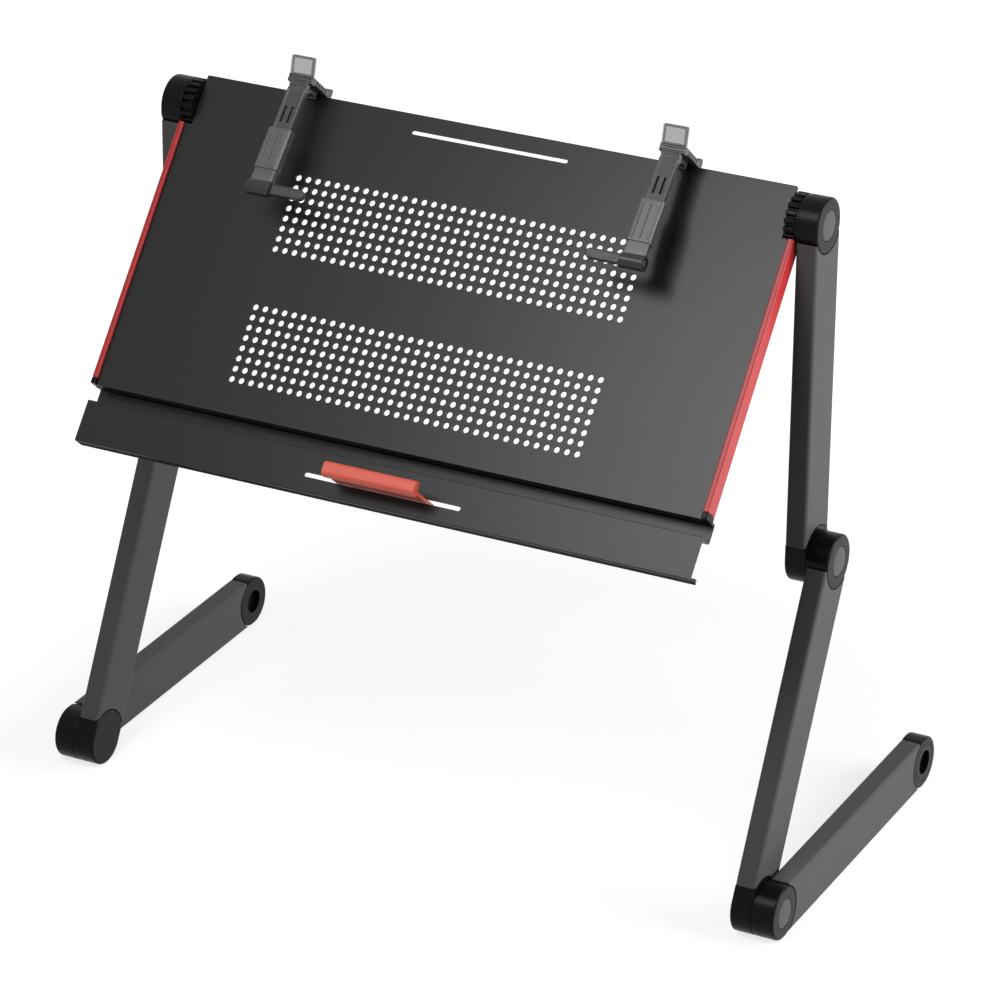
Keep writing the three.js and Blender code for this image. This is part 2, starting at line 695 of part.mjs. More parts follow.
// ---- Page clips ----
// Drawn at the deck's top edge: y is up the slope from that edge, z is up from the deck's surface,
// and the finger points to -X.
const clipHalf = CLIP_WIDTH / 2;
const armHalf = ARM_WIDTH / 2;
const neckFront = CLIP_EDGE_GAP;
const neckBack = CLIP_EDGE_GAP + CLIP_NECK;

function clipArm() {
  const body = block([-armHalf, armHalf], [-ARM_LENGTH, neckFront + 1], [-ARM_THICKNESS, 0]);
  const grooves = [-1, 1].map((side) => {
    const middle = side * ARM_GROOVE_OFFSET;
    return block(
      [middle - ARM_GROOVE_WIDTH / 2, middle + ARM_GROOVE_WIDTH / 2],
      [-ARM_GROOVE_FROM - ARM_GROOVE_LENGTH, -ARM_GROOVE_FROM],
      [-ARM_GROOVE_DEPTH, 1],
    );
  });
  return cut(body, ...grooves).rotate([-ARM_SLOPE, 0, 0]).translate([0, 0, CLIP_HEIGHT]);
}

function clipTab() {
  const slope = Math.atan2(TAB_RISE, TAB_REACH - neckBack);
  const length = Math.hypot(TAB_RISE, TAB_REACH - neckBack);
  const plate = block([-clipHalf, clipHalf], [-CLIP_NECK / 2, length], [-TAB_THICKNESS, 0]);
  const window = block(
    [TAB_RIM - clipHalf, clipHalf - TAB_RIM],
    [TAB_RIM / 2, length - TAB_RIM],
    [-TAB_WINDOW_DEPTH, 1],
  );
  return cut(plate, window)
    .rotate([THREE.MathUtils.radToDeg(slope), 0, 0])
    .translate([0, neckBack, CLIP_HEIGHT]);
}

function clipBody() {
  const section = [
    [-CLIP_PAD_LENGTH, SEAT_GAP],
    [neckFront, SEAT_GAP],
    [neckFront, -JAW_PIVOT_BELOW_SURFACE],
    [neckBack, -JAW_PIVOT_BELOW_SURFACE],
    [neckBack, CLIP_HEIGHT],
    [neckFront, CLIP_HEIGHT],
    [neckFront, CLIP_HEIGHT - 2 * ARM_THICKNESS],
    [-CLIP_EDGE_GAP, CLIP_PAD_THICKNESS + SEAT_GAP],
    [-CLIP_PAD_LENGTH, CLIP_PAD_THICKNESS / 2 + SEAT_GAP],
  ];
  const atPivot = [JAW_PIVOT_BEYOND_EDGE, -JAW_PIVOT_BELOW_SURFACE];
  const ears = drum(JAW_KNUCKLE_RADIUS, -clipHalf, clipHalf, SMALL_SIDES, ...atPivot);
  const knuckleHalf = JAW_KNUCKLE_WIDTH / 2 + RUNNING_GAP;
  const clear = JAW_KNUCKLE_RADIUS + 2 * RUNNING_GAP;
  const gap = block(
    [-knuckleHalf, knuckleHalf],
    [neckFront - 2, neckBack + JAW_KNUCKLE_RADIUS],
    [-JAW_PIVOT_BELOW_SURFACE - clear - 1, clear - JAW_PIVOT_BELOW_SURFACE],
  );
  const pinHole = bore(JAW_PIN_RADIUS + RUNNING_GAP, -clipHalf - 1, clipHalf + 1, SMALL_SIDES, ...atPivot);
  const neck = join(alongX(section, -clipHalf, clipHalf), ears);
  return join(cut(neck, gap, pinHole), clipArm(), clipTab());
}

// Drawn round the jaw's own pivot.
function clipJaw() {
  const padTop = JAW_PIVOT_BELOW_SURFACE - DECK_THICKNESS - SEAT_GAP;
  const padEnd = -JAW_PIVOT_BEYOND_EDGE - JAW_LENGTH;
  const padRoot = -JAW_PIVOT_BEYOND_EDGE - SEAT_GAP;
  const under = -JAW_KNUCKLE_RADIUS - SEAT_GAP;
  const knuckleHalf = JAW_KNUCKLE_WIDTH / 2;
  const tongue = [
    [padRoot - 1, padTop],
    [padRoot - 1, padTop - JAW_THICKNESS],
    [0, under - JAW_THICKNESS / 2],
    [1, under],
    [1, 0],
  ];
  const plate = [
    [padEnd, padTop],
    [padEnd, padTop - JAW_THICKNESS / 2],
    [padRoot, under - JAW_THICKNESS],
    [JAW_LEVER, under - JAW_THICKNESS],
    [JAW_LEVER, under],
    [padRoot + 1, under],
    [padRoot, padTop],
  ];
  return join(
    alongX(plate, -JAW_WIDTH / 2, JAW_WIDTH / 2),
    alongX(tongue, -knuckleHalf, knuckleHalf),
    drum(JAW_KNUCKLE_RADIUS, -knuckleHalf, knuckleHalf, SMALL_SIDES),
    drum(JAW_PIN_RADIUS, -clipHalf, clipHalf, SMALL_SIDES),
  );
}

// The sleeve is drawn along the arm: the arm's top is at z = 0, and y is 0 below the deck's edge.
const barrelY = -SLEEVE_FROM - SLEEVE_LENGTH - BARREL_BEYOND_SLEEVE;
const sleeveHalf = armHalf + RUNNING_GAP + SLEEVE_WALL;

function clipSleeve() {
  const wall = RUNNING_GAP + SLEEVE_WALL;
  const shell = block(
    [-sleeveHalf, sleeveHalf],
    [barrelY, -SLEEVE_FROM],
    [-ARM_THICKNESS - wall, wall],
  );
  const barrel = drum(BARREL_RADIUS, -sleeveHalf, sleeveHalf, RECESS_SIDES, barrelY, -ARM_THICKNESS / 2);
  const hollow = block(
    [-armHalf - RUNNING_GAP, armHalf + RUNNING_GAP],
    [-ARM_LENGTH - SLEEVE_TRAVEL_UP - RUNNING_GAP, 1],
    [-ARM_THICKNESS - RUNNING_GAP, RUNNING_GAP],
  );
  const shaftHole = bore(
    FINGER_SHAFT_RADIUS + RUNNING_GAP,
    -sleeveHalf - 1,
    sleeveHalf + 1,
    SMALL_SIDES,
    barrelY,
    -ARM_THICKNESS / 2,
  );
  return cut(join(shell, barrel), hollow, shaftHole);
}

// Drawn round its own axis.
function clipFinger() {
  const start = -sleeveHalf - RUNNING_GAP;
  const tipRadius = FINGER_WIDTH / 2;
  const paddle = outline([
    [start, -tipRadius],
    [start, tipRadius],
    ...arc(start - FINGER_LENGTH + tipRadius, 0, tipRadius, 90, 270, SMALL_SIDES / 2),
  ]);
  const flat = new THREE.ExtrudeGeometry(paddle, { depth: FINGER_THICKNESS, bevelEnabled: false });
  flat.translate(0, 0, -FINGER_THICKNESS / 2);
  return join(solidOf(flat), drum(FINGER_SHAFT_RADIUS, start - 1, sleeveHalf, SMALL_SIDES));
}

function pageClip(side) {
  const jaw = groupOf(`clip_jaw_pivot_${side}`, piece(`clip_jaw_${side}`, clipJaw(), smokeClear));
  jaw.position.set(0, JAW_PIVOT_BEYOND_EDGE, -JAW_PIVOT_BELOW_SURFACE);
  const finger = groupOf(
    `clip_finger_pivot_${side}`,
    piece(`clip_finger_${side}`, clipFinger(), smokeClear),
  );
  finger.position.set(0, barrelY, -ARM_THICKNESS / 2);
  const arm = groupOf(
    `clip_arm_${side}`,
    piece(`clip_sleeve_${side}`, clipSleeve(), smokeClear),
    finger,
  );
  arm.position.z = CLIP_HEIGHT;
  arm.rotation.x = -rad(ARM_SLOPE);
  const clip = groupOf(`clip_${side}`, piece(`clip_body_${side}`, clipBody(), smokeClear), jaw, arm);
  clip.position.set(CLIP_CENTRE, DECK_ABOVE_AXIS, DECK_RISE);
  return clip;
}

// ---- Assembly ----
function mirrored(side, ...members) {
  const group = groupOf("", ...members);
  group.scale.x = side === "left" ? -1 : 1;
  return group;
}

function legSection(name, side, layer, [y, z], angleDeg, members) {
  const section = groupOf(`${name}_leg_${side}`, ...members);
  section.position.set(upperLegInner + layer * legPitch, y, z);
  section.rotation.x = rad(angleDeg);
  return section;
}

function leg(side, [topY, topZ], [middleY, middleZ], [lowY, lowZ]) {
  const upper = legSection("upper", side, 0, [topY, topZ], -90 - UPPER_LEAN, [
    piece(`upper_tube_${side}`, tube(), legGrey),
    piece(`upper_head_cap_${side}`, headCap(), capBlack),
    piece(`upper_tail_cap_${side}`, tailCap(), capBlack),
    ...jointPieces("top", side),
  ]);
  const lower = legSection("lower", side, 1, [middleY, middleZ], -90 - LOWER_LEAN, [
    piece(`lower_tube_${side}`, tube(), legGrey),
    piece(`lower_head_cap_${side}`, headCap(), capBlack),
    piece(`lower_tail_cap_${side}`, tailCap(), capBlack),
    ...jointPieces("middle", side),
  ]);
  const foot = legSection("foot", side, 2, [lowY, lowZ], 0, [
    piece(`foot_tube_${side}`, tube(), legGrey),
    piece(`foot_head_cap_${side}`, headCap(), capBlack),
    piece(`foot_end_cap_${side}`, footEndCap(), capBlack),
    ...jointPieces("bottom", side),
  ]);
  return mirrored(side, upper, lower, foot);
}

function upLeg([y, z], leanDeg) {
  return [y + LEG_SPAN * Math.sin(rad(leanDeg)), z + LEG_SPAN * Math.cos(rad(leanDeg))];
}

function laptopStand() {
  const lowAxis = [0, hubRadius];
  const middleAxis = upLeg(lowAxis, LOWER_LEAN);
  const topAxis = upLeg(middleAxis, UPPER_LEAN);
  const deck = groupOf(
    "deck",
    piece("deck_plate", deckPlate(), deckBlack),
    piece("front_rail", frontRail(), deckBlack),
    piece("stopper", stopper(), stopperRed),
  );
  for (const side of ["right", "left"]) {
    deck.add(
      mirrored(
        side,
        piece(`edge_strip_${side}`, edgeStrip(), trimRed),
        piece(`edge_rail_${side}`, edgeRail(), capBlack),
        piece(`hinge_bracket_${side}`, hingeBracket(), capBlack),
        pageClip(side),
      ),
    );
  }
  deck.position.set(0, ...topAxis);
  deck.rotation.x = rad(DECK_TILT);
  const assembly = groupOf("assembly", deck);
  for (const side of ["right", "left"]) assembly.add(leg(side, topAxis, middleAxis, lowAxis));
  const box = new THREE.Box3().setFromObject(assembly, true);
  assembly.position.y = -(box.min.y + box.max.y) / 2;
  return groupOf("laptop_stand", assembly);
}

export default laptopStand();
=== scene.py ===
import json
import math

import bmesh
import bpy
from mathutils import Matrix, Quaternion, Vector


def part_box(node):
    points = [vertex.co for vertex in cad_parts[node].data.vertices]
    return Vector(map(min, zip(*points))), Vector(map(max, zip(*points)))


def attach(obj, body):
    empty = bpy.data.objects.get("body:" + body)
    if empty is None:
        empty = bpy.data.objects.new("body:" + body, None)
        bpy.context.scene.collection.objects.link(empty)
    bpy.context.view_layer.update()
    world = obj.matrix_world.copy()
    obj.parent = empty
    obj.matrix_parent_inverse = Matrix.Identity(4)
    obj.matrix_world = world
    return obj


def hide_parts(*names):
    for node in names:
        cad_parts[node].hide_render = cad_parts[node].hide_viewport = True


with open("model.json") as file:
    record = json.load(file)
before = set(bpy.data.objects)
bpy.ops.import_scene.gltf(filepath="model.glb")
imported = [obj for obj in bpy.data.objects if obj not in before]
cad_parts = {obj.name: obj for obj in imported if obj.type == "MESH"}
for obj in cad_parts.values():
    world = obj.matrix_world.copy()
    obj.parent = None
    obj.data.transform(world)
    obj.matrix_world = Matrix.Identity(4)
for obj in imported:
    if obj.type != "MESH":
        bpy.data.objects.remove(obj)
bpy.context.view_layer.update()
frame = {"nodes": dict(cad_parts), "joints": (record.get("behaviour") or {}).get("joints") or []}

# Lengths are in millimetres, in the local frame of the deck, of a leg section or of a clip.
MM = 0.001
SIDES = (("right", 1), ("left", -1))

# ---------------------------------------------------------------- sizes
GAP = 0.3    # between two pieces that don't touch
PAST = 1.0   # how far a cutter runs past what it cuts, and a fused form into its neighbour

# Deck plate, with its slot and its two fields of vents
DECK_HALF = 210.2
PLATE_HALF = 207.2
SURFACE = 9.2
PLATE_THICKNESS = 1.8
PLATE_UNDER = SURFACE - PLATE_THICKNESS
TOP_EDGE = 17.6
FRONT_EDGE = -191.9
NOTCH_INNER = 202.3
NOTCH_END = -15.7
PLATE_CORNER, NOTCH_CORNER, TOP_CORNER = 0.3, 0.2, 1.0
SLOT_LENGTH = 107.0
DECK_SLOT_WIDTH = 2.5
DECK_SLOT_Y = 5.9
VENT_PITCH = 6.75
VENT_RADIUS = 2.0
VENT_SIDES = 20
VENT_COLUMNS = 36
VENT_ROWS = 8
VENT_FIELDS = (-36.5, -122.4)

# Front rail: one folded sheet with a flange under the plate, the pen channel and the ledge
RAIL_WALL = 1.8
FLANGE_LENGTH = 13.9
FLANGE_CLEARANCE = 0.05
CHANNEL_FLOOR = -3.6
LEDGE_BACK = -201.4
LEDGE_FRONT = -228.4
LEDGE_TOP = 7.2
LEDGE_SLOT_Y = -217.2
LEDGE_SLOT_WIDTH = 2.9
LIP_FOOT = 3.2
LIP_SKIN = 0.8
LIP_TOP = 5.6
LIP_ROUND, LIP_EASE = 0.6, 0.05
SHEET_EDGE = 0.3
CHANNEL_INSIDE, CHANNEL_OUTSIDE = 0.9, 2.2
LEDGE_FRONT_ROUND, LEDGE_BACK_ROUND = 1.4, 0.5
LEDGE_FOLD, FLANGE_FOLD = 0.4, 0.6

# Red edge strips, and the black rails that carry them
STRIP_INNER = 206.8
STRIP_OUTER = 210.6
STRIP_PROUD = 2.2
STRIP_DEPTH = 9.5
CROWN_INNER, CROWN_OUTER = 0.9, 1.1
SKIRT = 1.6
SKIRT_INSIDE, SKIRT_OUTSIDE = 0.3, 0.4
TONGUE_INNER = 199.2
TONGUE_THICKNESS = 1.6
RAIL_INNER = 205.8
RAIL_DEPTH = 6.4
RAIL_ROUND = 0.2
CORNER_LENGTH = 4.3
CORNER_EASE = 0.3
CORNER_SKIN = 0.5

# Hinge brackets, each with the castellated wheel that shows in the deck's notch
WHEEL_RADIUS = 17.0
WHEEL_LOBES = 20
WHEEL_TOOTH = 2.3
WHEEL_INNER, WHEEL_OUTER = 202.6, 209.8
LOBE_END, GROOVE_START, GROOVE_END = 0.52, 0.64, 0.88   # as shares of the lobes' pitch
LOBE_ROUND, GROOVE_ROUND = 0.8, 0.4
DRUM_RADIUS = 15.0
DRUM_INNER, DRUM_OUTER = 183.9, 204.6
DRUM_FRONT = -14.0
DRUM_EASE, WHEEL_EASE, BRACKET_FOOT_EASE = 0.8, 0.45, 0.7
BRACKET_FOOT_Y = (-42.0, -11.0)
BRACKET_FOOT_THICKNESS = 4.5
NUT_DEPTH = 2.2

# Stopper in the ledge's slot
STOPPER_X = 2.2
STOPPER_HALF = 31.2
STOPPER_WEB_HALF = 1.1
STOPPER_HEAD_HALF = 4.75
STOPPER_SHIFT = 1.7     # of the head behind the web
STOPPER_RISE = 15.0     # from the deck's surface to the head
STOPPER_HEIGHT = 6.0
STOPPER_TAIL = 8.0      # from the ledge's underside down
STOPPER_CROWN, STOPPER_EDGE, STOPPER_FOOT_EDGE = 2.8, 0.8, 0.4

# Leg sections: tubes with a cap in each end
HUB_RADIUS = 17.0
HUB_ROUND = 1.4
SEAM_TRIM = 0.8
TUBE_THICKNESS = 13.8
TUBE_WALL = 1.5
TUBE_ROUND = 2.2
TUBE_START = 8.0        # before the saddles are cut
LEG_SPAN = 215.5
HEAD_SADDLE = 17.7
TAIL_SADDLE = 20.2
PLUG_START = 12.0
PLUG_LENGTH = 18.0      # beyond the saddle
PLUG_EASE = 0.6
COLLAR_BORE, COLLAR_RADIUS = 12.6, 16.7
COLLAR_PROUD = 1.05
FOOT_RECESS_RADIUS = 8.0
FOOT_RECESS = 4.0
FOOT_GROOVE_RADIUS = 12.8
FOOT_GROOVE_WIDTH = 0.5
FOOT_GROOVE_DEPTH = 0.35

# Joint locks: each button, and the bores for its ring, spring and pin
BUTTON_RADIUS = 9.5
BUTTON_RECESS = 9.85
RECESS_FLOOR = 7.6
BUTTON_PROUD = 0.3
BUTTON_THICKNESS = 3.3
# Points of the button's dome, as (radius, height over its face)
BUTTON_DOME = ((0, 0.02), (6.0, 0), (8.9, -0.1), (9.35, -0.35), (BUTTON_RADIUS, -0.8))
BUTTON_HOLLOW = 6.0
HOLLOW_DEPTH = 1.2
PRONG_RADIUS = 7.7
PRONG_HALF = 1.2
PRONG_END = 5.0
RING_POCKET, RING_POCKET_DEPTH = 11.6, 4.75
RING_SOCKET, RING_SOCKET_DEPTH = 11.5, 5.0
SPRING_WELL, SPRING_WELL_DEPTH = 5.9, 9.5
PIN_HOLE, PIN_CLEARANCE = 2.85, 2.9
PIN_END = 2.6

# Page clips: a neck over the deck's upper edge with its thumb tab, arm and jaw
CLIP_HALF = 8.5
CLIP_HEIGHT = 22.0
NECK_FRONT, NECK_BACK = 1.2, 4.7
NECK_TOP = CLIP_HEIGHT - 0.1
BROW = 1.4              # how far the neck's head stands forward
BROW_LOW, BROW_FOOT = 4.0, 6.0   # where it ends and meets the wall, below the clip's height
NECK_HEEL_ROUND, NECK_CROWN_ROUND, BROW_CROWN_ROUND, BROW_ROUND = 0.4, 0.9, 0.6, 0.8
PAD_LENGTH = 3.4
PAD_HALF = 3.0
PAD_THICKNESS = 1.2
WEB_TOP = 2.0           # below the clip's height
WEB_ELBOW = (-7.5, -3.0)                          # y, and z from the clip's height
WEB_WAIST, WEB_ANKLE = (-1.2, 6.0), (-2.4, 2.4)   # y, and z from the pad's underside
WEB_ELBOW_ROUND, WEB_WAIST_ROUND, WEB_ANKLE_ROUND, PAD_ROUND = 1.0, 2.0, 1.5, 0.5
FLUTES = 5
FLUTE_FIRST, FLUTE_PITCH = 1.5, 3.2
FLUTE_HALF, FLUTE_DEPTH = 0.6, 0.7
CROWN_FLUTES = (0.9, 2.7)
CROWN_FLUTE_HALF, CROWN_FLUTE_DEPTH = 0.4, 0.9
TAB_TIP = (15.0, 26.8)
TAB_INSET = 0.4
TAB_THICKNESS, TAB_PLATE = 2.6, 1.1
TAB_RIM, TAB_RIM_TOP = 1.5, 0.3
TAB_SEAM = 0.02         # between the plate and the rim laid on it
TAB_ROOT = -0.9
TAB_OPENING = 0.6
TAB_ROOT_ROUND, TAB_TIP_ROUND, TAB_OPENING_ROUND = 0.4, 1.1, 0.8
ARM_HALF = 6.2
ARM_THICKNESS = 4.6
ARM_ROOT, ARM_END = NECK_BACK - 1.2, -50.0
ARM_LOW_ROUND, ARM_HIGH_ROUND = 0.8, 0.5
ARM_RIM, ARM_SLOPE, ARM_SINK = 1.3, 0.3, 0.5
ARM_RIM_ROUND, ARM_SINK_ROUND = 0.3, 0.2
ARM_SLOT_X, ARM_SLOT_HALF = 2.3, 0.9
ARM_SLOT_Y, ARM_SLOT_DEPTH = (-28.0, -17.0), 2.6
ARM_GROOVE_Y, ARM_GROOVE_DEPTH = (-4.6, -2.2), 0.9
JAW_BEYOND_EDGE = 3.9
JAW_BELOW = 5.4
JAW_HALF = 7.0
JAW_LENGTH = 13.0
JAW_LEVER = 4.4
JAW_STEP = 1.0
JAW_TONGUE_DROP = 0.2
JAW_THICK, JAW_THIN = 2.4, 1.2
JAW_EDGE, JAW_HEEL, JAW_LEVER_ROUND, JAW_LEVER_TIP, JAW_TONGUE_ROUND = 0.5, 1.5, 0.8, 0.4, 0.2
GRIPS = 3
GRIP_FIRST, GRIP_PITCH = 2.0, 2.2
GRIP_HALF, GRIP_DEPTH = 0.5, 0.5
JAW_PIN, JAW_PIN_HOLE = 1.3, 1.6
KNUCKLE_HALF = 4.0
KNUCKLE_RADIUS = 3.0

# The sleeve that slides on the clip's arm, and the finger that turns in the sleeve's barrel
SLEEVE_HALF = 7.8
SLEEVE_START, SLEEVE_END = -33.0, -60.5
SLEEVE_WALL = 1.6
SLEEVE_TRAVEL = 14.0    # up the arm
SLEEVE_LOW_ROUND, SLEEVE_HIGH_ROUND = 1.2, 1.5
SHOULDER_INSET_X, SHOULDER_INSET_Z = 0.6, 0.9
SHOULDER_ROUND = 1.0
RIB_PITCH, RIB_HALF, RIB_HEIGHT, RIB_INSET = 5.0, 0.6, 0.8, 2.5
BARREL_Y = -72.5
BARREL_RADIUS = 5.0
BARREL_EASE = 0.5
BARREL_ROOM = BARREL_RADIUS - 0.5   # what the shoulder leaves for the barrel
BARREL_CENTRE = (BARREL_Y, -ARM_THICKNESS / 2)
FINGER_LENGTH = 23.0
FINGER_HALF = 3.3
FINGER_THICKNESS = 5.0
FINGER_RIM, FINGER_SINK = 1.1, 0.5
FINGER_EASE = 1.2
SHAFT_RADIUS, SHAFT_BORE = 2.2, 2.5
SHAFT_END = SLEEVE_HALF - 0.4
SHAFT_MOUTH, SHAFT_MOUTH_DEPTH = 3.6, 0.8

# Small rounds along the edges of forms, and of the grooves cut into them
FINE_EASE, SHEET_EASE, PLATE_EASE, FORM_EASE, MOULD_EASE = 0.15, 0.2, 0.25, 0.3, 0.35

# Meshes
CORNER_BREAK = 0.1       # a corner that is only broken
ROUND_SHARE = 0.49       # of a side, the most that the round of one corner takes up
MERGE, BOOLEAN_MERGE = 0.002, 0.004
SLIVER = 0.0001
SHARP_ANGLE = 32         # degrees between faces that meet in a sharp edge

# ---------------------------------------------------------------- frames
joints = {joint["name"]: joint for joint in frame["joints"]}
OUTWARDS = Vector((1, 0, 0))


def joint_point(name):
    return Vector(joints[name]["pos_m"])


def joint_axis(name):
    return Vector(joints[name]["axis"]).normalized()


def placed(origin, x_axis, y_axis, z_axis):
    """From millimetres in a local frame to metres in the row frame."""
    matrix = Matrix.Identity(4)
    for column, axis in enumerate((x_axis, y_axis, z_axis)):
        for row in range(3):
            matrix[row][column] = axis[row] * MM
    matrix.translation = origin
    return matrix


def straight(start, end):
    return Vector((0, end.y - start.y, end.z - start.z)).normalized()


def section_frame(node, start, along):
    """A leg section of the right side: x outwards from its inner face, y along it."""
    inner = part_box(node)[0].x
    return placed(Vector((inner, start.y, start.z)), OUTWARDS, along, OUTWARDS.cross(along))


top = joint_point("top_hinge_right")
middle = joint_point("middle_hinge_right")
bottom = joint_point("bottom_hinge_right")
upper_frame = section_frame("upper_tube_right", top, straight(top, middle))
lower_frame = section_frame("lower_tube_right", middle, straight(middle, bottom))
foot_frame = section_frame("foot_tube_right", bottom, Vector((0, 1, 0)))

normal = joint_axis("stopper_slide")
slope_up = normal.cross(OUTWARDS)
deck_frame = placed(Vector((0, top.y, top.z)), OUTWARDS, slope_up, normal)

jaw_pivot = joint_point("clip_jaw_hinge_right")
jaw_frame = placed(jaw_pivot, OUTWARDS, slope_up, normal)
clip_origin = jaw_pivot + (JAW_BELOW * normal - JAW_BEYOND_EDGE * slope_up) * MM
clip_frame = placed(clip_origin, OUTWARDS, slope_up, normal)

arm_up = joint_axis("clip_sleeve_slide_right")
arm_normal = OUTWARDS.cross(arm_up)
finger_pivot = joint_point("clip_finger_hinge_right")
finger_frame = placed(finger_pivot, OUTWARDS, arm_up, arm_normal)
arm_origin = finger_pivot + (ARM_THICKNESS / 2 * arm_normal - BARREL_Y * arm_up) * MM
arm_frame = placed(arm_origin, OUTWARDS, arm_up, arm_normal)
ARM_IN_CLIP = clip_frame.inverted() @ arm_frame

MIRROR = Matrix.Scale(-1, 4, OUTWARDS)


# ---------------------------------------------------------------- mesh helpers
def arc(ca, cb, radius, start, end, steps):
    """Points on a circle round (ca, cb), between two angles in degrees."""
    points = []
    for i in range(steps + 1):
        angle = math.radians(start + (end - start) * i / steps)
        points.append((ca + radius * math.cos(angle), cb + radius * math.sin(angle)))
    return points


def circle(radius, sides, ca=0.0, cb=0.0):
    return arc(ca, cb, radius, 0, 360, sides)[:-1]


def slot_outline(length, width, ca, cb, steps=8):
    radius = width / 2
    half = length / 2 - radius
    return arc(ca + half, cb, radius, -90, 90, steps) + arc(ca - half, cb, radius, 90, 270, steps)


def filleted(corners, radius=CORNER_BREAK, steps=5):
    """The outline with round corners: (a, b) takes the common radius and (a, b, r) its own."""
    points = [Vector(corner[:2]) for corner in corners]
    radii = [corner[2] if len(corner) > 2 else radius for corner in corners]
    result = []
    for i, here in enumerate(points):
        before = points[i - 1] - here
        after = points[(i + 1) % len(points)] - here
        angle = before.angle(after)
        longest = ROUND_SHARE * min(before.length, after.length)
        reach = min(radii[i] / math.tan(angle / 2), longest)
        to_centre = reach * math.tan(angle / 2) / math.sin(angle / 2)
        centre = here + (before.normalized() + after.normalized()).normalized() * to_centre
        spoke = here + before.normalized() * reach - centre
        end = here + after.normalized() * reach - centre
        sweep = spoke.angle_signed(end, 0)
        for step in range(steps + 1):
            turn = -sweep * step / steps
            cosine, sine = math.cos(turn), math.sin(turn)
            result.append(
                (centre.x + cosine * spoke.x - sine * spoke.y, centre.y + sine * spoke.x + cosine * spoke.y)
            )
    return result


# Where a prism's outline lies: its axes a and b are y and z, z and x, or x and y.
ALONG_X = Matrix(((0, 0, 1, 0), (1, 0, 0, 0), (0, 1, 0, 0), (0, 0, 0, 1)))
ALONG_Y = Matrix(((0, 1, 0, 0), (0, 0, 1, 0), (1, 0, 0, 0), (0, 0, 0, 1)))
ALONG_Z = Matrix.Identity(4)


def evaluated_mesh(obj):
    graph = bpy.context.evaluated_depsgraph_get()
    return bpy.data.meshes.new_from_object(obj.evaluated_get(graph), depsgraph=graph)


def in_scene(name, data):
    obj = bpy.data.objects.new(name, data)
    bpy.context.scene.collection.objects.link(obj)
    return obj


def tidy_mesh(mesh, merge=MERGE):
    work = bmesh.new()
    work.from_mesh(mesh)
    bmesh.ops.remove_doubles(work, verts=work.verts, dist=merge)
    bmesh.ops.dissolve_degenerate(work, edges=work.edges, dist=SLIVER)
    bmesh.ops.recalc_face_normals(work, faces=work.faces)
    work.to_mesh(mesh)
    work.free()


def prism(outlines, low, high, along=ALONG_Z, bevel=0.0, bevel_steps=2):
    """The area between the outlines, swept from low to high, its edges rounded by bevel."""
    curve = bpy.data.curves.new("outline", "CURVE")
    curve.dimensions = "2D"
    curve.fill_mode = "BOTH"
    curve.extrude = (high - low) / 2 - bevel
    curve.bevel_depth = bevel
    curve.bevel_resolution = bevel_steps
    curve.offset = -bevel
    for outline in outlines:
        spline = curve.splines.new("POLY")
        spline.points.add(len(outline) - 1)
        spline.points.foreach_set("co", [v for a, b in outline for v in (a, b, 0, 1)])
        spline.use_cyclic_u = True
    obj = in_scene("outline", curve)
    mesh = evaluated_mesh(obj)
    bpy.data.objects.remove(obj)
    mesh.transform(along @ Matrix.Translation((0, 0, (low + high) / 2)))
    tidy_mesh(mesh)
    return mesh


def rod(radius, low, high, centre=(0, 0), sides=48, bevel=0.0, bevel_steps=2):
    """A cylinder along x, round a centre in y and z."""
    return prism([circle(radius, sides, *centre)], low, high, ALONG_X, bevel, bevel_steps)


def block(xs, ys, zs, bevel=0.0, bevel_steps=2):
    outline = [(xs[0], ys[0]), (xs[1], ys[0]), (xs[1], ys[1]), (xs[0], ys[1])]
    return prism([outline], *zs, ALONG_Z, bevel, bevel_steps)


def revolve(profile, sides):
    """A profile of (radius, x) points turned round the x axis; a radius of 0 closes to one point."""
    verts, rings, faces = [], [], []
    for radius, x in profile:
        if radius == 0:
            rings.append([len(verts)])
            verts.append((x, 0, 0))
            continue
        rings.append(list(range(len(verts), len(verts) + sides)))
        for i in range(sides):
            angle = 2 * math.pi * i / sides
            verts.append((x, radius * math.cos(angle), radius * math.sin(angle)))
    for low, high in zip(rings, rings[1:]):
        for i in range(sides):
            j = (i + 1) % sides
            quad = [low[i % len(low)], low[j % len(low)], high[j % len(high)], high[i % len(high)]]
            corner = list(dict.fromkeys(quad))
            if len(corner) > 2:
                faces.append(corner)
    mesh = bpy.data.meshes.new("turned")
    mesh.from_pydata(verts, [], faces)
    tidy_mesh(mesh)
    return mesh


def ring(inner, outer, low, high, sides=96):
    return revolve([(inner, low), (outer, low), (outer, high), (inner, high), (inner, low)], sides)


def combined(*meshes):
    """Separate shells in one mesh, for forms that lie apart or only touch."""
    work = bmesh.new()
    for mesh in meshes:
        work.from_mesh(mesh)
    result = bpy.data.meshes.new("combined")
    work.to_mesh(result)
    work.free()
    return result


def transformed(mesh, matrix):
    mesh.transform(matrix)
    return mesh


def boolean(base, tools, operation):
    obj = in_scene("base", base)
    helpers = []
    for tool in tools:
        helper = in_scene("tool", tool)
        helpers.append(helper)
        modifier = obj.modifiers.new("bool", "BOOLEAN")
        modifier.operation = operation
        modifier.solver = "MANIFOLD"
        modifier.object = helper
    mesh = evaluated_mesh(obj)
    for used in (obj, *helpers):
        bpy.data.objects.remove(used)
    tidy_mesh(mesh, BOOLEAN_MERGE)
    return mesh


def cut(base, *tools):
    return boolean(base, tools, "DIFFERENCE")


def fuse(base, *tools):
    return boolean(base, tools, "UNION")


